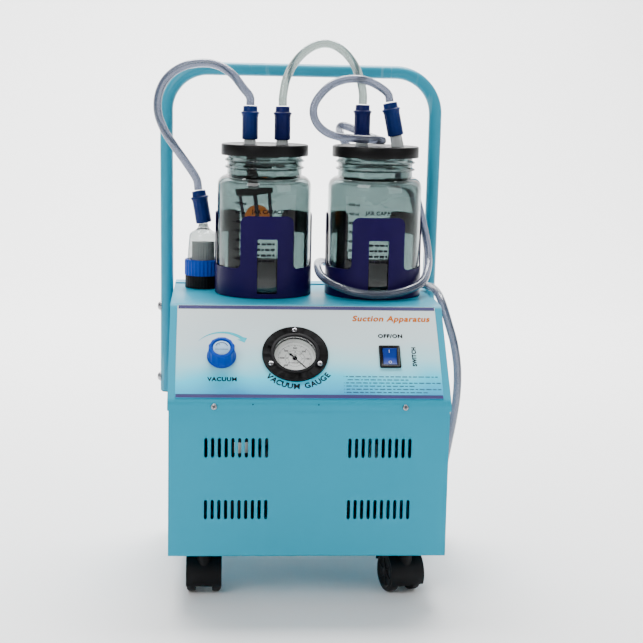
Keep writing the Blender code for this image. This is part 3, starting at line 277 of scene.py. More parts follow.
def mesh_of(bm, name, smooth=35):
    bmesh.ops.remove_doubles(bm, verts=bm.verts, dist=1e-6)
    bmesh.ops.recalc_face_normals(bm, faces=bm.faces)
    mesh = bpy.data.meshes.new(name)
    bm.to_mesh(mesh)
    bm.free()
    mesh.shade_smooth()
    mesh.set_sharp_from_angle(angle=math.radians(smooth))
    return mesh


def turned(name, profile, steps=96, smooth=35):
    bm = bmesh.new()
    verts = [bm.verts.new((r, 0, z)) for r, z in profile]
    edges = [bm.edges.new(pair) for pair in zip(verts, verts[1:])]
    if profile[0][0] > 0 or profile[-1][0] > 0:
        edges.append(bm.edges.new((verts[-1], verts[0])))
    bmesh.ops.spin(
        bm, geom=verts + edges, cent=(0, 0, 0), axis=(0, 0, 1), angle=math.tau, steps=steps,
        use_duplicate=False,
    )
    return mesh_of(bm, name, smooth)


def ribbed(name, profile, ribs, depth, low, high, steps_per_rib=8, smooth=35):
    """A turned shape whose outside is fluted between two heights."""
    mesh = turned(name, profile, ribs * steps_per_rib, smooth)
    widest = max(r for r, z in profile if low <= z <= high)
    for v in mesh.vertices:
        r = math.hypot(v.co.x, v.co.y)
        if low - 1e-6 <= v.co.z <= high + 1e-6 and r > widest * 0.88:
            a = math.atan2(v.co.y, v.co.x) * ribs
            cut = depth * (0.5 + 0.5 * math.cos(a)) ** 0.6
            v.co.x *= (r - cut) / r
            v.co.y *= (r - cut) / r
    return mesh


def extruded(name, outline, depth, bevel=0.0, smooth=35, segments=3):
    bm = bmesh.new()
    face = bm.faces.new([bm.verts.new((x, y, 0)) for x, y in outline])
    top = bmesh.ops.extrude_face_region(bm, geom=[face])
    moving = [v for v in top["geom"] if isinstance(v, bmesh.types.BMVert)]
    bmesh.ops.translate(bm, verts=moving, vec=(0, 0, depth))
    if bevel:
        rim = [e for e in bm.edges if abs(e.verts[0].co.z - e.verts[1].co.z) < 1e-9]
        bmesh.ops.bevel(bm, geom=rim, offset=bevel, segments=segments, affect="EDGES", profile=0.5)
    return mesh_of(bm, name, smooth)


def block(name, low, high, bevel=0.0):
    bm = bmesh.new()
    bmesh.ops.create_cube(bm, size=1)
    size = [h - l for l, h in zip(low, high)]
    middle = [(h + l) / 2 for l, h in zip(low, high)]
    bmesh.ops.transform(bm, matrix=Matrix.Translation(middle) @ Matrix.Diagonal((*size, 1)), verts=bm.verts)
    if bevel:
        bmesh.ops.bevel(bm, geom=list(bm.edges), offset=bevel, segments=3, affect="EDGES", profile=0.5)
    return mesh_of(bm, name)


def arc(cx, cy, radius, start, stop, steps):
    angles = [math.radians(start + (stop - start) * i / steps) for i in range(steps + 1)]
    return [(cx + radius * math.cos(a), cy + radius * math.sin(a)) for a in angles]


def round_rect(width, height, radius, steps=6, cx=0.0, cy=0.0):
    x, y = width / 2 - radius, height / 2 - radius
    return (arc(cx + x, cy + y, radius, 0, 90, steps) + arc(cx - x, cy + y, radius, 90, 180, steps)
            + arc(cx - x, cy - y, radius, 180, 270, steps) + arc(cx + x, cy - y, radius, 270, 360, steps))


def joined(name, meshes, smooth=35):
    bm = bmesh.new()
    for mesh in meshes:
        bm.from_mesh(mesh)
    out = bpy.data.meshes.new(name)
    bm.to_mesh(out)
    bm.free()
    out.shade_smooth()
    out.set_sharp_from_angle(angle=math.radians(smooth))
    return out


def polar(radius, degrees):
    return radius * math.cos(math.radians(degrees)), radius * math.sin(math.radians(degrees))


def carve(piece, steps):
    """Adds meshes to a piece or takes them out of it, in order, and returns its new mesh."""
    helpers = []
    for operation, mesh in steps:
        helper = bpy.data.objects.new("carve", mesh)
        scene.collection.objects.link(helper)
        step = piece.modifiers.new("carve", "BOOLEAN")
        step.object, step.operation, step.solver = helper, operation, "EXACT"
        helpers.append(helper)
    bpy.context.view_layer.update()
    piece_now = piece.evaluated_get(bpy.context.evaluated_depsgraph_get())
    solid = bpy.data.meshes.new_from_object(piece_now)
    piece.modifiers.clear()
    piece.data = solid
    for helper in helpers:
        bpy.data.objects.remove(helper)
    return solid


def moved(mesh, matrix):
    mesh.transform(matrix)
    return mesh


def at(x, y, z):
    return Matrix.Translation((x, y, z))


def turn(degrees, axis="Z"):
    return Matrix.Rotation(math.radians(degrees), 4, axis)


def show(name, mesh, material, matrix=None, stands_for=(), body=ROOT):
    """Adds a visible piece in the row frame, riding on a CAD body."""
    if matrix is not None:
        mesh.transform(matrix)
    mesh.materials.clear()
    mesh.materials.append(material)
    made = bpy.data.objects.new(name, mesh)
    scene.collection.objects.link(made)
    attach(made, body)
    for node in stands_for:
        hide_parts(node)
    return made


def print_text(words, size, bold=0.0, spacing=1.0, raise_by=0.00005, align="CENTER"):
    data = bpy.data.curves.new("words", "FONT")
    data.body, data.size, data.align_x, data.align_y = words, size, align, "CENTER"
    data.extrude, data.offset, data.space_character = raise_by, min(bold, 0.0001), spacing
    data.resolution_u = 4
    holder = bpy.data.objects.new("words", data)
    scene.collection.objects.link(holder)
    bpy.context.view_layer.update()
    mesh = bpy.data.meshes.new_from_object(holder.evaluated_get(bpy.context.evaluated_depsgraph_get()))
    bpy.data.objects.remove(holder)
    mesh.materials.clear()
    if bold <= 0.0001:
        return mesh
    shifts = [(0, 0), (bold, 0), (-bold, 0), (0, bold), (0, -bold)]
    return joined(
        "words", [moved(mesh.copy(), at(x * 0.7, y * 0.7, 0.000008 * k)) for k, (x, y) in enumerate(shifts)],
    )


def middle(node):
    lo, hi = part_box(node)
    return (lo + hi) / 2


def paint_node(node, material):
    target = frame["nodes"][node]
    target.data.materials.clear()
    target.data.materials.append(material)


# ---- cabinet ---------------------------------------------------------------------------

for node in ("lower_cabinet", "top_cover", "rear_panel"):
    paint_node(node, POWDER)

knob_joint = JOINTS["vacuum_knob_turn"]
SLOPE = math.atan2(-knob_joint["axis"][1], knob_joint["axis"][2])
overlay_low, overlay_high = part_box("control_overlay")
cover_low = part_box("top_cover")[0]
PANEL = at(0, cover_low.y, 0.255) @ turn(math.degrees(SLOPE), "X")
FILM = 0.0009  # height of the film's face above the panel's steel
PRINT = FILM + 0.0001  # height at which the print on the film starts
SEAT = 0.0013  # height at which the gauge, the knob and the switch start
DIAL_ZERO, DIAL_SWEEP = -47, 270  # degrees, the dial's zero and its scale


def on_panel(point):
    """A row-frame point in the panel's own frame."""
    return PANEL.inverted() @ Vector(point)


paint_node("control_overlay", overlay_finish(overlay_low.z, overlay_high.z))


def bars():
    half = (overlay_high.x - overlay_low.x) / 2 - 0.0006
    low, high = on_panel((0, overlay_low.y, overlay_low.z)).y, on_panel((0, overlay_high.y, overlay_high.z)).y
    ink = finish("bar_ink", (0.012, 0.008, 0.10), 0.35, 0, 0.08, 100, 0.05, 1500, 0.06)
    strips = [(-half, low + 0.0008, half, low + 0.0058), (-half + 0.0005, high - 0.0062, half, high - 0.0006)]
    made = [block("bar", (x0, y0, FILM), (x1, y1, PRINT)) for x0, y0, x1, y1 in strips]
    show("overlay_bars", joined("overlay_bars", made), ink, PANEL)


bars()

knob_at = on_panel(knob_joint["pos_m"])
gauge_at = on_panel(JOINTS["gauge_pointer_turn"]["pos_m"])
rocker_at = on_panel(JOINTS["switch_rocker_tilt"]["pos_m"])


def labels():
    ink = []
    ink.append(moved(print_text("VACUUM", 0.0080, 0.00034, 1.10),
        at(knob_at.x + 0.001, knob_at.y - 0.0335, 0)))
    ink.append(
        moved(print_text("OFF/ON", 0.0076, 0.00050, 1.14), at(rocker_at.x + 0.0025, rocker_at.y + 0.0318, 0))
    )
    ink.append(
        moved(
            print_text("SWITCH", 0.0071, 0.00042, 1.10),
            at(rocker_at.x + 0.0303, rocker_at.y + 0.001, 0) @ turn(90),
        )
    )
    word = "VACUUM GAUGE"
    widths = {"V": 8.6, "A": 8.6, "C": 8.4, "U": 8.8, "M": 10.6, "G": 9.4, "E": 7.6, " ": 6.0}
    a = -sum(widths[letter] for letter in word) / 2
    for letter in word:
        a += widths[letter] / 2
        if letter != " ":
            place = at(gauge_at.x + 0.002, gauge_at.y, 0) @ turn(a + 2) @ at(0, -0.0475, 0)
            ink.append(moved(print_text(letter, 0.0102, 0.00042), place))
        a += widths[letter] / 2
    lines = []
    for row, (start, stop) in enumerate(
        (
            (0.0440, 0.1560), (0.0460, 0.1200), (0.0440, 0.1595), (0.0440, 0.1300), (0.0440, 0.1600),
            (0.0440, 0.1420),
        )
    ):
        y = 0.0372 - row * 0.0046
        if row != 1:
            lines.append(block("dot", (0.0413, y - 0.0004, 0), (0.0422, y + 0.0004, 0.0001)))
        x, k = start, 0
        while x < stop - 0.002:
            w = min(0.0026 + 0.0042 * abs(math.sin(2.3 * k + row * 1.7)), stop - x)
            lines.append(block("word", (x, y - 0.0006, 0), (x + w, y + 0.0006, 0.0001)))
            x, k = x + w + 0.0017, k + 1
    show("panel_lines", joined("panel_lines", lines), GREY_INK, PANEL @ at(0, 0, PRINT))
    show("panel_print", joined("panel_print", ink), INK, PANEL @ at(0, 0, PRINT))
    title = print_text("Suction Apparatus", 0.0118, 0.00062, 1.10)
    for v in title.vertices:
        v.co.x += v.co.y * 0.22
    show("panel_title", title, ORANGE_INK, PANEL @ at(0.1050, 0.1250, PRINT))
    outer = arc(0, 0, 0.0390, 142, 52, 24)
    inner = [polar(0.0345 + 0.0043 * t / 24, 52 + 90 * t / 24) for t in range(24)]
    tip = [(0.0435 * math.cos(math.radians(48)), 0.0435 * math.sin(math.radians(48)) - 0.003),
           (0.0330 * math.cos(math.radians(38)), 0.0330 * math.sin(math.radians(38)) + 0.002),
           (0.0310 * math.cos(math.radians(57)), 0.0310 * math.sin(math.radians(57)) + 0.001)]
    swoosh = extruded("swoosh", outer + tip + inner, 0.0001)
    show(
        "panel_arrow", swoosh, CYAN_INK,
        PANEL @ at(knob_at.x + 0.002, knob_at.y - 0.001, PRINT),
    )


labels()


# ---- gauge, knob and switch ------------------------------------------------------------


def cross_screw(name, radius, height, node, matrix):
    """A pan head with a cross recess; the shade inside the recess is painted as a black cross on the head."""
    head = turned(
        name,
        [
            (0, height), (radius * 0.5, height * 0.96), (radius * 0.85, height * 0.7),
            (radius, height * 0.15), (radius, 0), (0, 0),
        ],
        40,
    )
    # painted shade: black bars standing on the steel head give the shade inside the cross recess
    arms = [
        block("arm", (-radius * 0.52, -radius * 0.11, height * 0.955),
        (radius * 0.52, radius * 0.11, height * 1.02)) for _ in range(2)
    ]
    moved(arms[1], turn(90))
    show(name, head, STEEL, matrix, (node,))
    show(name + "_recess_shade", joined(name + "_recess_shade", arms), BLACK, matrix @ turn(27))


def gauge():
    gx, gy = gauge_at.x, gauge_at.y
    place = PANEL @ at(gx, gy, 0)
    base = SEAT
    front = base + 0.0030
    r, w = 0.0405, 0.0254
    flange = turned("gauge_flange", [
        (w + 0.0003, base), (r, base), (r, front - 0.0009), (r - 0.0003, front - 0.0003), (r - 0.0009, front),
        (0.0300, front),
        (0.0297, front + 0.0006), (0.0290, front + 0.0010), (w + 0.0012, front + 0.0010),
        (w + 0.0004, front + 0.0004), (w + 0.0003, -0.009),
        (w - 0.0005, -0.009), (w - 0.0005, -0.0095), (0.0295, -0.0095), (0.0295, base - 0.0001)], 128)
    show("gauge_flange", flange, FLANGE, place)
    paint_node("gauge_case", BLACK)
    ring = turned(
        "gauge_chrome_ring",
        [(0.0238, -0.0075), (0.0249, -0.0075), (0.0252, -0.0020), (0.0246, -0.0020), (0.0238, -0.0072)], 128,
    )
    show("gauge_inner_ring", ring, WHITE, place)
    face_z = -0.0076
    face = turned(
        "dial_face",
        [(0.0014, face_z), (0.0250, face_z), (0.0250, face_z - 0.0009), (0.0014, face_z - 0.0009)], 96,
    )
    show("gauge_dial_face", face, DIAL, place, ("gauge_dial",))
    ink = []
    for i in range(61):
        a = DIAL_ZERO + DIAL_SWEEP * i / 60
        inner = 0.0176 if i % 10 == 0 else 0.0188 if i % 5 == 0 else 0.0196
        width = 0.00030 if i % 5 == 0 else 0.00015
        ink.append(moved(block("tick", (inner, -width, 0), (0.0208, width, 0.00006)), turn(a)))
        if i % 2 == 0:
            ink.append(moved(block("tick", (0.0118, -0.00010, 0), (0.0130, 0.00010, 0.00006)), turn(a)))
    for radius in (0.0118, 0.0080):
        ink.append(
            turned(
                "line",
                [
                    (radius - 0.00012, 0), (radius + 0.00012, 0), (radius + 0.00012, 0.00006),
                    (radius - 0.00012, 0.00006),
                ],
                96,
            )
        )
    scales = (
        (0.0153, 0.0034, 0.00010, "0 100 200 300 400 500 600"),
        (0.0098, 0.0025, 0.00006, "0 5 10 15 20 25 30"),
    )
    for radius, size, bold, numbers in scales:
        for i, words in enumerate(numbers.split()):
            ink.append(moved(print_text(words, size, bold), at(*polar(radius, DIAL_ZERO + 45 * i), 0)))
    ink.append(moved(print_text("mmHg", 0.0030, 0.00006), at(-0.0020, 0.0052, 0)))
    ink.append(moved(print_text("VACUUM", 0.0020, 0.00004), at(0, -0.0062, 0)))
    show("gauge_print", joined("gauge_print", ink), INK, place @ at(0, 0, face_z + 0.00005))
    glass_z = front - 0.0026
    pane = turned(
        "gauge_window", [(0, glass_z), (w, glass_z), (w, glass_z + 0.0015), (0, glass_z + 0.0015)], 96,
    )
    show("gauge_window", pane, WINDOW, place, ("gauge_glass",))
    tip, tail = 0.0195, 0.0085
    blade = [(tip, -0.0004), (tip, 0.0004)] + arc(0, 0, 0.0030, 8, 165, 16) + [(-tail, 0.0017),
        (-tail - 0.0006, 0), (-tail, -0.0017)] + arc(0, 0, 0.0030, 195, 352, 16)
    needle = extruded("needle", blade, 0.0006)
    cap = turned("cap", [(0, 0.0018), (0.0014, 0.0017), (0.0023, 0.0009), (0.0023, 0), (0, 0)], 40)
    shape = joined("gauge_needle", [needle, cap])
    show(
        "gauge_needle", shape, INK, place @ at(0, 0, face_z + 0.0006) @ turn(DIAL_ZERO),
        ("gauge_pointer",), "gauge_pointer_body",
    )
    for number, degrees in enumerate((90, 209, 331), 1):
        spot = place @ at(*polar(0.0340, degrees), front + 0.0002) @ turn(40 * number)
        cross_screw(f"gauge_flange_screw_{number}", 0.0035, 0.0020, f"gauge_screw_{number}", spot)


gauge()


def knob():
    place = PANEL @ at(knob_at.x, knob_at.y, 0)
    base = SEAT
    face = base + 0.0195
    r = 0.0179
    profile = [
        (0, base), (r - 0.0008, base), (r, base + 0.0008), (r, base + 0.0020), (r - 0.0006, base + 0.0028),
        (r - 0.0011, base + 0.0040),
        (r - 0.0015, face - 0.0025), (r - 0.0019, face - 0.0011), (r - 0.0030, face - 0.0002),
        (r - 0.0038, face), (0.0122, face),
        (0.0116, face - 0.0005), (0.0112, face - 0.0018), (0, face - 0.0018)]
    body = ribbed("knob_grip", profile, 12, 0.0010, base + 0.0040, face - 0.0011, 12, 30)
    show("knob_grip", body, ROYAL, place, ("vacuum_knob",), "vacuum_knob_body")
    disc = turned(
        "knob_disc",
        [
            (0, face - 0.0009), (0.0098, face - 0.0009), (0.0104, face - 0.0013), (0.0104, face - 0.0017),
            (0, face - 0.0017),
        ],
        64,
    )
    show("knob_disc", disc, KNOB_CARD, place, body="vacuum_knob_body")
    marks = [extruded("sweep", arc(0, 0, 0.0080, 160, 20, 20) + arc(0, 0, 0.0070, 20, 160, 20), 0.00008)]
    marks.append(moved(block("m", (-0.0002, 0.0040, 0), (0.0002, 0.0066, 0.00008)), turn(30)))
    marks.append(block("line", (-0.0080, -0.0028, 0), (0.0080, -0.0022, 0.00008)))
    for k in range(7):
        marks.append(moved(block("m", (-0.00012, 0.0052, 0), (0.00012, 0.0062, 0.00008)), turn(-66 + 22 * k)))
    show(
        "knob_marks", joined("knob_marks", marks), NAVY, place @ at(0, 0, face - 0.00088),
        body="vacuum_knob_body",
    )


knob()
paint_node("regulator_valve", BRASS)


def switch():
    place = PANEL @ at(rocker_at.x, rocker_at.y, 0)
    base = SEAT
    outer = extruded("bezel", round_rect(0.0262, 0.0332, 0.0018), 0.0022, 0.0007)
    bezel = show("switch_bezel", outer, BLACK, place @ at(0, 0, base), ("switch_housing",))
    opening = moved(block("opening", (-0.0088, -0.0123, -0.0085), (0.0088, 0.0123, 0.02)), place)
    core = moved(block("core", (-0.0108, -0.0138, -0.018), (0.0108, 0.0138, base + 0.001)), place)
    carve(bezel, (("UNION", core), ("DIFFERENCE", opening)))
    half, width = 0.0112, 0.0168
    top = [(half - 0.0004, 0.0066)]
    for i in range(1, 24):
        t = 1 - 2 * i / 24
        top.append((t * half, 0.0040 + 0.0026 * abs(t) ** 1.5))
    top.append((-half + 0.0004, 0.0066))
    side = [(-half, 0.0062), (-0.0092, -0.0035), (0.0092, -0.0035), (half, 0.0062)]
    paddle = extruded("paddle", side + top, width, 0.0003)
    across = Matrix(((0, 0, 1, -width / 2), (1, 0, 0, 0), (0, 1, 0, 0), (0, 0, 0, 1)))
    tilt = place @ at(0, 0, -0.002) @ turn(10, "X")
    rocker = finish(
        "rocker_blue", (0.002, 0.030, 0.26), 0.42, 0, 0.08, 60, 0.05, 900, 0.08, Specular_IOR_Level=0.2,
    )
    show(
        "rocker_paddle", moved(paddle, across), rocker, tilt, ("switch_rocker",),
        "switch_rocker_body",
    )
    ring = turned("o", [(0.0014, 0), (0.0019, 0), (0.0019, 0.0001), (0.0014, 0.0001)], 40)
    bar = block("i", (-0.0003, -0.0018, 0), (0.0003, 0.0018, 0.0001))
    marks = [
        moved(bar, at(-0.0008, 0.0074, 0.00545) @ turn(13, "X")),
        moved(ring, at(0, -0.0074, 0.00545) @ turn(-13, "X")),
    ]
    show(
        "rocker_marks", joined("rocker_marks", marks), PALE_INK, tilt,
        body="switch_rocker_body",
    )


switch()

for number in (1, 2):
    spot = middle(f"cover_screw_{number}")
    cross_screw(
        f"lip_screw_{number}", 0.0038, 0.0024, f"cover_screw_{number}",
        at(spot.x, cover_low.y - 0.0002, spot.z) @ turn(90, "X") @ turn(35 * number),
    )


def lip_dimple_shade():
    """Painted shade in two small punched dimples in the cover's front lip: a black spot stands in each shaded
    hollow.
    """
    spots = [(-0.0683, 0.2540), (0.0103, 0.2540)]
    # painted shade: each dimple's shaded hollow is drawn as a small black spot
    made = [
        moved(
            turned("pin", [(0, 0.0003), (0.0007, 0.0003), (0.0009, 0), (0, 0)], 16),
            at(x, cover_low.y, z - 0.002) @ turn(90, "X"),
        ) for x, z in spots
    ]
    show("lip_dimple_shade_spots", joined("lip_dimple_shade_spots", made), BLACK)


lip_dimple_shade()


# ---- handle ----------------------------------------------------------------------------


def smooth_route(points, spacing):
    """Evenly spaced points on a Catmull-Rom curve through the route's own points."""
    ends = [2 * Vector(points[0]) - Vector(points[1])]
    route = ends + [Vector(p) for p in points] + [2 * Vector(points[-1]) - Vector(points[-2])]
    fine = []
    for a, b, c, d in zip(route, route[1:], route[2:], route[3:]):
        for i in range(16):
            t = i / 16
            fine.append(
                0.5 * (
                    (2 * b) + (c - a) * t + (2 * a - 5 * b + 4 * c - d) * t * t
                    + (3 * b - a - 3 * c + d) * t**3
                )
            )
    fine.append(Vector(points[-1]))
    lengths = [0.0]
    for p, q in zip(fine, fine[1:]):
        lengths.append(lengths[-1] + (q - p).length)
    count = max(2, round(lengths[-1] / spacing))
    even, j = [], 0
    for i in range(count + 1):
        want = lengths[-1] * i / count
        while j < len(fine) - 2 and lengths[j + 1] < want:
            j += 1
        share = (want - lengths[j]) / max(lengths[j + 1] - lengths[j], 1e-9)
        even.append(fine[j].lerp(fine[j + 1], min(max(share, 0), 1)))
    return even, lengths[-1]


def tube(name, points, radius, material, body=ROOT, stands_for=(), resolution=8):
    data = bpy.data.curves.new(name, "CURVE")
    data.dimensions = "3D"
    data.bevel_depth, data.bevel_resolution, data.use_fill_caps = radius, resolution, True
    spline = data.splines.new("POLY")
    spline.points.add(len(points) - 1)
    for point, place in zip(spline.points, points):
        point.co = (*place, 1)
    spline.use_smooth = True
    data.materials.append(material)
    made = bpy.data.objects.new(name, data)
    scene.collection.objects.link(made)
    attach(made, body)
    for node in stands_for:
        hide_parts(node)
    return made


HANDLE_R, HANDLE_FOOT = 0.00875, 0.181  # the tube's radius, and its legs' distance from the middle


def handle():
    low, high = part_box("handle")
    y, r = (low.y + high.y) / 2, HANDLE_R
    foot, top_x, top_z, bend = HANDLE_FOOT, 0.1825, high.z - r, 0.056
    left = [(-foot, low.z), (-foot, 0.28), (-foot, 0.36), (-(foot + top_x) / 2, 0.46), (-top_x, 0.56)] + arc(
        -top_x + bend, top_z - bend, bend, 180, 90, 28,
    )
    half = [Vector((x, y, z)) for x, z in left]
    path = half + [Vector((-p.x, p.y, p.z)) for p in reversed(half)]
    tube("handle_tube", path, r, handle_finish(), ROOT, ("handle",), 12)
    collars = []
    for z, wall in ((0.323, 0.1702), (0.224, 0.1688)):
        for side in (-1, 1):
            collar = turned(
                "collar", [(0, 0.176), (0.0062, 0.176), (0.0064, wall + 0.0008), (0.0070, wall), (0, wall)],
                32,
            )
            collars.append(moved(collar, at(0, y, z) @ turn(side * 90, "Y")))
    show("handle_collars", joined("handle_collars", collars), POWDER)
    ends = []
    for side in (-1, 1):
        cap = turned("cap", [(0, -0.0022), (0.0070, -0.0018), (0.0084, 0), (0, 0)], 32)
        ends.append(moved(cap, at(side * foot, y, low.z)))
    show("handle_end_caps", joined("handle_end_caps", ends), BLACK)
    for number in (1, 2, 3, 4):
        lo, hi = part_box(f"handle_bolt_{number}")
        side = 1 if (lo.x + hi.x) > 0 else -1
        z = (lo.z + hi.z) / 2
        head = HANDLE_FOOT + HANDLE_R
        dome = turned(
            "dome",
            [
                (0, head + 0.0044), (0.0030, head + 0.0040), (0.0050, head + 0.0028), (0.0060, head + 0.0008),
                (0.0066, head + 0.0004), (0.0066, head - 0.0012), (0, head - 0.0012),
            ],
            40,
        )
        shank = turned("shank", [(0, head), (0.0028, head), (0.0028, 0.160), (0, 0.160)], 24)
        nut = turned("nut", [(0, 0.1672), (0.0055, 0.1672), (0.0055, 0.1625), (0, 0.1625)], 6, 20)
        show(
            f"handle_fixing_{number}", joined("bolt", [dome, shank, nut]), STEEL,
            at(0, y, z) @ turn(side * 90, "Y"), (f"handle_bolt_{number}",),
        )


handle()


# ---- jars, holders and lids ------------------------------------------------------------


def jar_shape(bottom, mouth):
    r = 0.0612
    outer = [
        (0, bottom + 0.0016), (0.020, bottom + 0.0012), (0.040, bottom + 0.0003), (0.0465, bottom),
        (0.0520, bottom + 0.0004),
    ]
    outer += [
        (r - 0.008 + 0.008 * math.sin(a), bottom + 0.0088 - 0.008 * math.cos(a)) for a in [
            math.radians(12 * i) for i in range(1, 8)
        ]
    ]
    outer += [(r, z) for z in (0.385, 0.420, 0.460, 0.488)]
    outer += [
        (0.0485 + 0.0127 * math.cos(a), 0.497 + 0.0140 * math.sin(a)) for a in [
            math.radians(9 * i) for i in range(1, 10)
        ]
    ]
    neck = [(0.0487, 0.5120), (0.0487, 0.5175)]
    for z in (0.5212, 0.5302):
        neck += [
            (0.0487, z - 0.0030), (0.0502, z - 0.0018), (0.0518, z - 0.0008), (0.0521, z),
            (0.0518, z + 0.0008), (0.0502, z + 0.0018), (0.0487, z + 0.0030),
        ]
    lip = [
        (0.0487, mouth - 0.0060), (0.0480, mouth - 0.0010), (0.0470, mouth), (0.0460, mouth),
        (0.0451, mouth - 0.0010),
    ]
    inner = [(0.0449, 0.5250), (0.0449, 0.5120), (0.0460, 0.5070)]
    inner += [
        (0.0482 + 0.0100 * math.cos(a), 0.4950 + 0.0112 * math.sin(a)) for a in [
            math.radians(90 - 15 * i) for i in range(1, 6)
        ]
    ]
    inner += [(0.0582, 0.490), (0.0582, 0.440), (0.0582, 0.400), (0.0582, bottom + 0.015)]
    inner += [
        (0.0492 + 0.009 * math.cos(a), bottom + 0.0145 - 0.009 * math.sin(a)) for a in [
            math.radians(15 * i) for i in range(1, 6)
        ]
    ]
    inner += [(0.0450, bottom + 0.0055), (0.0250, bottom + 0.0062), (0, bottom + 0.0066)]
    return outer + neck + lip + inner


def wrap(mesh, radius):
    """Bends a flat print round a jar: x runs round it from the front, y is height."""
    for v in mesh.vertices:
        a = v.co.x / radius
        r = radius + v.co.z
        v.co = Vector((r * math.sin(a), -r * math.cos(a), v.co.y))
    return mesh


GRADUATION = 0.0118  # height of 100 ml in a jar
PRINT_R = 0.06128  # the print lies just outside the glass


def jar_print(number, centre):
    marks = []
    for k, words in enumerate(("1000", "900", "800", "700", "600", "500", "400", "300", "200")):
        z = 0.4775 - k * GRADUATION
        marks.append(moved(print_text(words + " ml", 0.0050, 0.00022, raise_by=0.00002), at(-0.0330, z, 0)))
        marks.append(
            moved(block("tick", (-0.0030, -0.00025, 0), (0.0030, 0.00025, 0.00004)), at(-0.0425, z, 0))
        )
    for k in range(9):
        marks.append(
            moved(
                block("tick", (-0.0020, -0.00018, 0), (0.0020, 0.00018, 0.00004)),
                at(0.0345, 0.4715 - k * GRADUATION, 0),
            )
        )
    marks.append(
        moved(print_text("JAR CAPACITY", 0.0068, 0.00030, 1.1, raise_by=0.00002), at(0.0070, 0.4675, 0))
    )
    for row in range(4):
        x = -0.0120 + 0.0012 * (row % 2)
        while x < 0.0120:
            w = min(0.0030 + 0.0030 * abs(math.sin(1.9 * row + 400 * x)), 0.0125 - x)
            marks.append(block("word", (x, 0.4250 - 0.0072 * row, 0),
                (x + w, 0.4278 - 0.0072 * row, 0.00004)))
            x += w + 0.0014
    sheet = joined("print", marks)
    show(f"jar_{number}_print", wrap(sheet, PRINT_R), INK, at(centre.x, centre.y, 0))


def holder(number, centre, twist):
    low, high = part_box(f"jar_holder_{number}")
    r, t, band, top = 0.0634, 0.0012, 0.394, high.z
    profile = [
        (0, low.z), (r - 0.0008, low.z), (r, low.z + 0.0008), (r, top), (r - t, top), (r - t, low.z + t),
        (0, low.z + t),
    ]
    made = show(
        f"holder_{number}", turned("holder", profile, 160), INDIGO,
        at(centre.x, centre.y, 0) @ turn(twist), (f"jar_holder_{number}",),
    )
    half = r * math.sin(math.radians(27.5))
    corner, foot = 0.010, 0.006
    gap = (arc(half - foot, band + foot, foot, 270, 360, 8)
        + arc(half + corner, top - corner, corner, 180, 90, 10)
           + [(half + corner, top + 0.01), (-half - corner, top + 0.01)]
           + arc(-half - corner, top - corner, corner, 90, 0, 10)
           + arc(-half + foot, band + foot, foot, 180, 270, 8))
    window = round_rect(0.026, 0.070, 0.0018, 4, 0, 0.3975)
    cuts = []
    for degrees, outline in [(a, gap) for a in (60, 180, 300)] + [(a, window) for a in (0, 120, 240)]:
        stand = at(centre.x, centre.y, 0) @ turn(twist + degrees) @ at(0, -0.045, 0) @ turn(90, "X")
        cuts.append(("DIFFERENCE", moved(extruded("cut", outline, 0.030), stand)))
    solid = carve(made, cuts)
    solid.shade_smooth()
    solid.set_sharp_from_angle(angle=math.radians(30))


def lid(number, centre):
    low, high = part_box(f"jar_lid_{number}")
    r, z0, z1 = 0.0566, low.z, high.z
    profile = [(0, z1 - 0.0006), (r - 0.0075, z1 - 0.0006), (r - 0.0065, z1 - 0.0002), (r - 0.0055, z1),
        (r - 0.0018, z1), (r - 0.0006, z1 - 0.0005), (r, z1 - 0.0018),
               (r, z0 + 0.0012), (r - 0.0004, z0), (0.0532, z0), (0.0530, z1 - 0.0025), (0, z1 - 0.0025)]
    mesh = turned("lid", profile, 160)
    show(f"lid_{number}", mesh, LID_BLACK, at(centre.x, centre.y, 0), (f"jar_lid_{number}",))
    paint_node(f"lid_insert_{number}", MILKY)


for number, twist in ((1, 3), (2, 1)):
    centre = middle(f"jar_{number}")
    low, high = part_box(f"jar_{number}")
    shape = turned(f"jar_{number}_glass", jar_shape(low.z, high.z), 128, 50)
    show(f"jar_{number}_glass", shape, GLASS, at(centre.x, centre.y, 0), (f"jar_{number}",))
    jar_print(number, centre)
    holder(number, centre, twist)
    lid(number, centre)


PORT_ROOT = 0.549
PORTS = {
    "a": (-0.0715, 0, 0.0074), "b": (-0.0295, 0, 0.0074), "c": (0.0745, 0, 0.0115), "d": (0.1222, 12, 0.0160),
}
JAR_Y = middle("jar_1").y
SLEEVE = [
    (0.0056, 0), (0.0094, 0), (0.0100, 0.0004), (0.0104, 0.0012), (0.0105, 0.0020), (0.0105, 0.0290),
    (0.0106, 0.0300), (0.0109, 0.0318),
    (0.0114, 0.0328), (0.0119, 0.0336), (0.0121, 0.0342), (0.0119, 0.0348), (0.0112, 0.0354),
    (0.0098, 0.0360), (0.0094, 0.0366), (0.0092, 0.0420),
    (0.0090, 0.0427), (0.0084, 0.0430), (0.0062, 0.0430), (0.0060, 0.0424), (0.0060, 0.0270),
    (0.0056, 0.0260)]


def sleeve(name, node, matrix, material):
    mesh = ribbed(name, SLEEVE, 14, 0.0007, 0.0030, 0.0290, 10, 40)
    show(name, mesh, material, matrix, (node,))


for name, (x, lean, foot) in PORTS.items():
    place = at(x, JAR_Y, PORT_ROOT) @ turn(-lean, "Y") @ at(0, 0, foot)
    sleeve(f"sleeve_{name}", f"hose_connector_{name}", place, BLUE_RUBBER if name in "ad" else NAVY_RUBBER)


# ---- float valve -----------------------------------------------------------------------


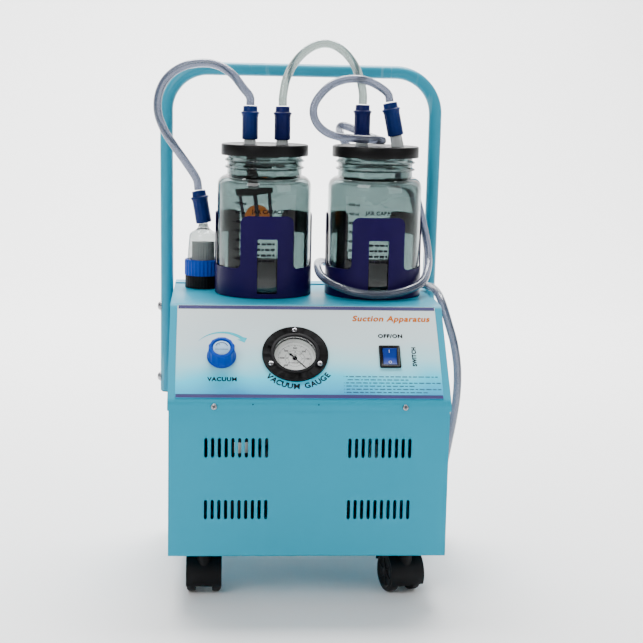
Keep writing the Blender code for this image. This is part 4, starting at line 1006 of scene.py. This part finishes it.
def float_valve():
    slide = Vector(JOINTS["float_rise"]["axis"])
    tilt = math.degrees(math.atan2(-slide.x, slide.z))
    top = at(PORTS["a"][0], JAR_Y, 0.5444) @ turn(-tilt, "Y")
    stem = [(0, 0), (0.0080, 0), (0.0080, -0.006)]
    for k in range(6):
        z = -0.008 - k * 0.0065
        stem += [(0.0080, z), (0.0066, z - 0.0012), (0.0066, z - 0.0034), (0.0080, z - 0.0046)]
    stem += [
        (0.0075, -0.0480), (0.0235, -0.0486), (0.0245, -0.0496), (0.0245, -0.0580), (0.0238, -0.0590),
        (0, -0.0590),
    ]
    show("float_stem", turned("float_stem", stem, 72), LID_BLACK, top, ("float_cage",))
    bars = []
    for k in range(6):
        bar = block("bar", (-0.0026, -0.0011, -0.1085), (0.0026, 0.0011, -0.0585), 0.0005)
        for v in bar.vertices:
            share = (v.co.z + 0.0585) / -0.050
            v.co.y += 0.0220 - 0.0020 * share
        bars.append(moved(bar, turn(60 * k)))
    ring = turned(
        "ring",
        [
            (0.0185, -0.1070), (0.0212, -0.1070), (0.0212, -0.1100), (0.0060, -0.1100), (0.0060, -0.1075),
            (0.0176, -0.1070),
        ],
        72,
    )
    show("float_bars", joined("float_bars", bars + [ring]), NAVY, top)
    bm = bmesh.new()
    bmesh.ops.create_uvsphere(bm, u_segments=64, v_segments=32, radius=0.0170)
    # the float bead takes the orange plastic with its painted glow
    show(
        "float_bead", mesh_of(bm, "float_bead", 60), ORANGE, at(*middle("float_ball")),
        ("float_ball",), "float_ball_body",
    )


float_valve()


# ---- filter ----------------------------------------------------------------------------


def bacterial_filter():
    centre = middle("filter_base")
    x, y = centre.x, centre.y
    z0 = 0.3564
    base = ribbed("filter_foot", [(0, z0), (0.0236, z0), (0.0240, z0 + 0.0004), (0.0240, 0.3722),
        (0.0236, 0.3730), (0.0195, 0.3730), (0.0195, 0.3800), (0.0160, 0.3800), (0.0160, 0.3680),
        (0, 0.3680)],
                  36, 0.0004, z0 + 0.0003, 0.3725, 6)
    show("filter_foot", base, BLACK, at(x, y, 0), ("filter_base",))
    spigot = turned("spigot", [(0, 0.338), (0.0045, 0.338), (0.0045, z0), (0, z0)], 24)
    show("filter_spigot", spigot, BRASS, at(x, y, 0))
    ring = ribbed("filter_collar", [(0.0215, 0.3734), (0.0244, 0.3734), (0.0248, 0.3738),
        (0.0248, 0.3925), (0.0243, 0.3938), (0.0234, 0.3945), (0.0215, 0.3945)],
                  30, 0.0009, 0.3737, 0.3930, 8)
    show("filter_collar", ring, ROYAL, at(x, y, 0), ("filter_ring",))
    outer = [(0.0208, 0.3805), (0.0208, 0.3980), (0.0203, 0.4050), (0.0192, 0.4200), (0.0186, 0.4262),
        (0.0178, 0.4285), (0.0160, 0.4302), (0.0120, 0.4325),
             (0.0092, 0.4345), (0.0076, 0.4365), (0.0068, 0.4385), (0.0064, 0.4405), (0.0054, 0.4412)]
    inner = [
        (0.0030, 0.4412), (0.0030, 0.4360), (0.0075, 0.4335), (0.0140, 0.4300), (0.0168, 0.4265),
        (0.0178, 0.4180), (0.0193, 0.4000), (0.0193, 0.3805),
    ]
    show(
        "filter_dome", turned("filter_dome", outer + inner, 96), CLEAR, at(x, y, 0),
        ("filter_cup",),
    )
    lean = at(x + 0.0010, y, 0.4415) @ turn(-10, "Y")
    spout = turned(
        "filter_spout",
        [(0.0028, 0.0205), (0.0048, 0.0205), (0.0052, 0.017), (0.0052, -0.004), (0.0028, -0.004)], 32,
    )
    show("filter_spout", spout, CLEAR, lean)
    sleeve("sleeve_f", "filter_connector", lean @ at(0, 0, 0.0016), BLUE_RUBBER)
    pleats = ribbed(
        "filter_pleats", [(0, 0.3684), (0.0150, 0.3684), (0.0150, 0.4180), (0, 0.4180)], 26, 0.0016, 0.3690,
        0.4180, 6,
    )
    show("filter_pleats", pleats, PAPER, at(x, y, 0), ("filter_element",))


bacterial_filter()


# ---- hoses -----------------------------------------------------------------------------

FILTER_HOSE = [
    (-0.1385, 0.097, 0.4868), (-0.1410, 0.0969, 0.5010), (-0.153, 0.094, 0.520), (-0.170, 0.091, 0.544),
    (-0.184, 0.087, 0.566), (-0.192, 0.084, 0.590), (-0.190, 0.081, 0.614), (-0.179, 0.077, 0.634),
    (-0.159, 0.073, 0.648), (-0.134, 0.068, 0.653), (-0.113, 0.064, 0.650), (-0.095, 0.060, 0.639),
    (-0.081, 0.057, 0.622), (-0.0722, 0.0552, 0.611), (-0.0715, 0.055, 0.6003),
]
TRANSFER_HOSE = [
    (-0.0295, 0.055, 0.6003), (-0.0293, 0.0555, 0.613), (-0.025, 0.060, 0.635), (-0.015, 0.065, 0.655),
    (0.000, 0.069, 0.671), (0.017, 0.071, 0.680), (0.034, 0.071, 0.680), (0.050, 0.069, 0.671),
    (0.063, 0.064, 0.655), (0.071, 0.059, 0.635), (0.0744, 0.0556, 0.618), (0.0745, 0.055, 0.6044),
]
PATIENT_HOSE = [
    (0.1097, 0.055, 0.6081), (0.1075, 0.0547, 0.6175), (0.098, 0.051, 0.6255), (0.084, 0.047, 0.6325),
    (0.067, 0.042, 0.6365), (0.048, 0.037, 0.635), (0.031, 0.034, 0.628), (0.018, 0.031, 0.616),
    (0.010, 0.029, 0.603), (0.009, 0.027, 0.590), (0.015, 0.025, 0.577), (0.028, 0.024, 0.567),
    (0.045, 0.023, 0.5625), (0.064, 0.023, 0.561), (0.082, 0.027, 0.560), (0.096, 0.037, 0.559),
    (0.1015, 0.054, 0.558), (0.096, 0.071, 0.559), (0.083, 0.083, 0.563), (0.066, 0.088, 0.571),
    (0.052, 0.095, 0.575), (0.049, 0.107, 0.570), (0.053, 0.1175, 0.560), (0.060, 0.1265, 0.549),
    (0.072, 0.1325, 0.540), (0.087, 0.1350, 0.536), (0.105, 0.134, 0.532), (0.126, 0.130, 0.525),
    (0.141, 0.125, 0.512), (0.151, 0.117, 0.495), (0.158, 0.109, 0.474), (0.1635, 0.098, 0.450),
    (0.1675, 0.083, 0.425), (0.1680, 0.064, 0.405), (0.1641, 0.0415, 0.389), (0.1519, 0.0125, 0.376),
    (0.1258, -0.0095, 0.368), (0.0960, -0.0172, 0.3645), (0.0705, -0.0140, 0.366), (0.050, -0.0035, 0.370),
    (0.033, 0.013, 0.376), (0.0225, 0.033, 0.383), (0.0198, 0.055, 0.390), (0.0225, 0.078, 0.394),
    (0.033, 0.101, 0.391), (0.052, 0.117, 0.381), (0.075, 0.1235, 0.371), (0.100, 0.1245, 0.3650),
    (0.125, 0.118, 0.3630), (0.147, 0.105, 0.3630), (0.163, 0.087, 0.3640), (0.1725, 0.062, 0.3645),
    (0.1775, 0.034, 0.3610), (0.181, 0.010, 0.350), (0.187, -0.005, 0.328), (0.195, -0.010, 0.300),
    (0.201, -0.006, 0.268), (0.2035, 0.005, 0.232), (0.203, 0.022, 0.195), (0.2015, 0.043, 0.158),
    (0.200, 0.068, 0.118), (0.199, 0.096, 0.080), (0.198, 0.124, 0.046), (0.195, 0.149, 0.022),
    (0.188, 0.168, 0.0100), (0.177, 0.185, 0.0066), (0.159, 0.199, 0.0057), (0.137, 0.212, 0.0057),
]
HOSE_R, PATIENT_R = 0.0055, 0.00525
COIL_END = 40  # degrees round the coil at which the hose leaves it


def hose(name, node, points, radius, material, **facts):
    path, length = smooth_route(points, 0.004)
    made = tube(name, path, radius, material, ROOT, (node,))
    return made


hose("filter_tube", "filter_hose", FILTER_HOSE, HOSE_R, PVC, far_end="object", stiffness="medium",
    lay="loose")
hose(
    "transfer_tube", "transfer_hose", TRANSFER_HOSE, HOSE_R, PVC_GREEN, far_end="object", stiffness="medium",
    lay="loose",
)


def patient_tube():
    coil = middle("patient_hose_coil")
    low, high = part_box("patient_hose_coil")
    ring = (high.x - low.x) / 2 - PATIENT_R
    first, second = low.z + PATIENT_R + 0.0002, high.z - PATIENT_R
    fit_low, fit_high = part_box("patient_fitting")
    leave, reach = COIL_END + 720, 0.0395
    start = 52
    turns = []
    for i in range(0, 61):
        a = start + (leave - start) * i / 60
        lift = min(max((a - 300) / 80, 0), 1)
        z = first + (second - first) * lift * lift * (3 - 2 * lift)
        r = ring + 0.0006 * math.sin(a / 23)
        turns.append((coil.x + r * math.cos(math.radians(a)), coil.y + r * math.sin(math.radians(a)), z))
    out = Vector((-math.sin(math.radians(leave)), math.cos(math.radians(leave)), 0))
    last = Vector(
        (coil.x + ring * math.cos(math.radians(leave)), coil.y + ring * math.sin(math.radians(leave)), second)
    )
    drop = (fit_low.z + fit_high.z) / 2 - second
    tail = [
        last + out * (reach * t) + Vector((0, 0, drop * max(0, (t - 0.3) / 0.7) ** 1.5)) for t in (0.35,
        0.7, 1.0)
    ]
    made = hose("patient_tube", "patient_hose", PATIENT_HOSE + turns + [tuple(p) for p in tail],
        PATIENT_R, PVC,
                far_end="fitting", stiffness="medium", lay="coiled", with_pieces=["patient_tip"])
    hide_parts("patient_hose_coil")


def patient_tip():
    centre = middle("patient_fitting")
    tip = turned("patient_tip", [
        (0.0030, 0), (0.0058, 0), (0.0062, 0.0006), (0.0062, 0.0030), (0.0070, 0.0050), (0.0078, 0.0056),
        (0.0078, 0.0100), (0.0072, 0.0106),
        (0.0072, 0.0130), (0.0078, 0.0136), (0.0078, 0.0180), (0.0072, 0.0186), (0.0072, 0.0210),
        (0.0078, 0.0216), (0.0078, 0.0290), (0.0070, 0.0310),
        (0.0060, 0.0340), (0.0042, 0.0340), (0.0040, 0.0300), (0.0030, 0.0290)], 64)
    show(
        "patient_tip", tip, CLEAR,
        at(*centre) @ turn(COIL_END + 90) @ turn(90, "Y") @ at(0, 0, -0.017), ("patient_fitting",),
    )


patient_tip()
patient_tube()


# ---- casters ---------------------------------------------------------------------------


def caster(name):
    swivel = JOINTS[f"caster_{name}_swivel"]
    roll = JOINTS[f"caster_{name}_roll"]
    heading = math.degrees(math.atan2(roll["axis"][1], roll["axis"][0]))
    x, y, _ = swivel["pos_m"]
    place = at(x, y, 0) @ turn(heading)
    trail, axle = 0.016, 0.025
    half, inner = 0.022, 0.010
    to_side = Matrix(((0, 0, 1, 0), (1, 0, 0, trail), (0, 1, 0, axle), (0, 0, 0, 1)))
    shell = arc(0, 0, 0.0282, 205, 20, 40) + arc(0, 0, 0.0261, 20, 205, 40)
    hood = moved(extruded("hood", shell, 2 * half, 0.0006), to_side @ at(0, 0, -half))
    web = arc(0, 0, 0.0272, 201, 25, 36) + arc(0, 0, 0.0080, 12, -145, 16)
    middle_web = moved(extruded("web", web, 2 * (inner - 0.0008), 0.0006), to_side
        @ at(0, 0, -inner + 0.0008))
    stem = turned(
        "stem",
        [
            (0, 0.0720), (0.0080, 0.0720), (0.0085, 0.0715), (0.0085, 0.0646), (0.0055, 0.0646),
            (0.0055, 0.0626), (0.0116, 0.0626), (0.0120, 0.0622), (0.0120, 0.0592), (0.0116, 0.0588),
            (0.0088, 0.0572), (0.0085, 0.0560), (0.0085, 0.0350), (0, 0.0350),
        ],
        48,
    )
    show(
        f"hood_{name}", joined("hood", [hood, middle_web, stem]), BLACK, place,
        (f"caster_{name}_hood",), f"caster_{name}_swivel_body",
    )
    wheels = []
    for side in (-1, 1):
        w0, w1 = inner, half - 0.0005
        disc = turned("disc", [
            (0, w1 - 0.0006), (0.0045, w1 - 0.0006), (0.0055, w1 - 0.0012), (0.0060, w1 - 0.0030),
            (0.0170, w1 - 0.0024), (0.0185, w1 - 0.0010), (0.0195, w1), (0.0215, w1 - 0.0001),
            (0.0232, w1 - 0.0008), (0.0244, w1 - 0.0020), (0.0250, w1 - 0.0034), (0.0250, w0 + 0.0012),
            (0.0246, w0 + 0.0004), (0.0238, w0), (0.0041, w0), (0, w0)], 96)
        wheels.append(moved(disc, turn(side * 90, "Y")))
        for k in range(6):
            spoke = block("spoke", (0.0062, -0.0008, w1 - 0.0032), (0.0172, 0.0008, w1 - 0.0012), 0.0003)
            wheels.append(moved(spoke, turn(side * 90, "Y") @ turn(60 * k + 11)))
    wheels.append(
        moved(
            turned(
                "axle",
                [(0, inner + 0.001), (0.0041, inner + 0.001), (0.0041, -inner - 0.001), (0, -inner - 0.001)],
                32,
            ),
            turn(90, "Y"),
        )
    )
    show(
        f"wheels_{name}", joined("wheels", wheels), TREAD, place @ at(0, trail, axle),
        (f"caster_{name}_wheels",), f"caster_{name}_wheel_body",
    )


for name in ("front_left", "front_right", "rear_left", "rear_right"):
    caster(name)


# ---- inside and back -------------------------------------------------------------------

paint_node("pump_bracket", BRACKET)
paint_node("pump_motor", CASTING)
paint_node("pump_head", CASTING)
paint_node("pump_fan", WHITE)
paint_node("exhaust_muffler", CHARCOAL)


def muffler_tag():
    """A small white tag on the exhaust muffler, which shows through a vent."""
    centre = middle("exhaust_muffler")
    outline = arc(0, 0, 0.01835, 246, 300, 10) + arc(0, 0, 0.01812, 300, 246, 10)
    show(
        "muffler_tag", extruded("muffler_tag", outline, 0.013), WHITE,
        at(centre.x + 0.0005, centre.y, 0.1885),
    )


muffler_tag()
paint_node("power_inlet", BLACK)


def rear_details():
    centre, back = middle("power_inlet"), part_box("power_inlet")[1].y
    pins = [block("pin", (centre.x - 0.008 + dx - 0.001, back - 0.016, centre.z + dz - 0.0022),
        (centre.x - 0.008 + dx + 0.001, back - 0.006, centre.z + dz + 0.0022), 0.0004)
            for dx, dz in ((-0.007, -0.001), (0, 0.002), (0.007, -0.001))]
    show("inlet_pins", joined("inlet_pins", pins), STEEL)
    drawer = block(
        "drawer", (centre.x + 0.0085, back - 0.0005, centre.z - 0.0105),
        (centre.x + 0.0215, back + 0.0010, centre.z + 0.0105), 0.0006,
    )
    show("fuse_drawer", drawer, BLACK)
    for i, dx in enumerate((-0.0255, 0.0255)):
        head = turned("head", [(0, 0.0012), (0.0016, 0.0011), (0.0024, 0.0005), (0.0026, 0), (0, 0)], 32)
        show(
            f"inlet_screw_{i + 1}", head, STEEL,
            at(centre.x + dx, back, centre.z) @ turn(-90, "X"),
        )
    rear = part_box("rear_panel")[1].y
    heads = []
    for x in (-0.158, 0.158):
        for z in (0.085, 0.205, 0.335):
            heads.append(
                moved(
                    turned("head", [(0, 0.0016), (0.0020, 0.0015), (0.0032, 0.0008), (0.0036, 0),
                    (0, 0)], 32),
                    at(x, rear, z) @ turn(-90, "X"),
                )
            )
    show("rear_screws", joined("rear_screws", heads), STEEL)


rear_details()


# ---- studio ----------------------------------------------------------------------------


def studio():
    side = [(-6.0, 0.0), (1.9, 0.0)] + [(1.9 + y, 1.2 + z) for y,
        z in arc(0, 0, 1.2, 270, 360, 24)] + [(3.1, 4.5)]
    bm = bmesh.new()
    rows = [[bm.verts.new((x, y, z)) for x in (-7.0, 7.0)] for y, z in side]
    for low, high in zip(rows, rows[1:]):
        bm.faces.new((low[0], low[1], high[1], high[0]))
    floor = bpy.data.objects.new("floor", mesh_of(bm, "floor", 60))
    floor.data.materials.append(finish("studio_floor", (0.88, 0.88, 0.88), 0.7, 0, 0.01, 2, 0.02, 60, 0.03))
    scene.collection.objects.link(floor)
    world = bpy.data.worlds.new("studio")
    world.use_nodes = True
    nodes, links = world.node_tree.nodes, world.node_tree.links
    place = nodes.new("ShaderNodeTexCoord")
    split = nodes.new("ShaderNodeSeparateXYZ")
    links.new(place.outputs["Generated"], split.inputs["Vector"])
    ahead = nodes.new("ShaderNodeMapRange")
    ahead.interpolation_type = "SMOOTHSTEP"
    ahead.inputs["From Min"].default_value, ahead.inputs["From Max"].default_value = -0.1, 0.75
    ahead.inputs["To Min"].default_value, ahead.inputs["To Max"].default_value = 0.32, 1.3
    links.new(split.outputs["Y"], ahead.inputs["Value"])
    sky = nodes["Background"]
    sky.inputs["Color"].default_value = (1.0, 1.0, 1.0, 1)
    links.new(ahead.outputs["Result"], sky.inputs["Strength"])
    scene.world = world
    area_light("key", (-1.3, -1.9, 1.9), (0, 0, 0.35), 1.4, 38)
    area_light("fill", (1.7, -1.5, 1.3), (0, 0, 0.35), 1.6, 12)
    area_light("top", (0, 0.1, 2.3), (0, 0, 0.3), 1.6, 9)
    area_light("backdrop", (0, 1.6, 3.4), (0, 3.1, 0.9), 2.6, 470)


studio()
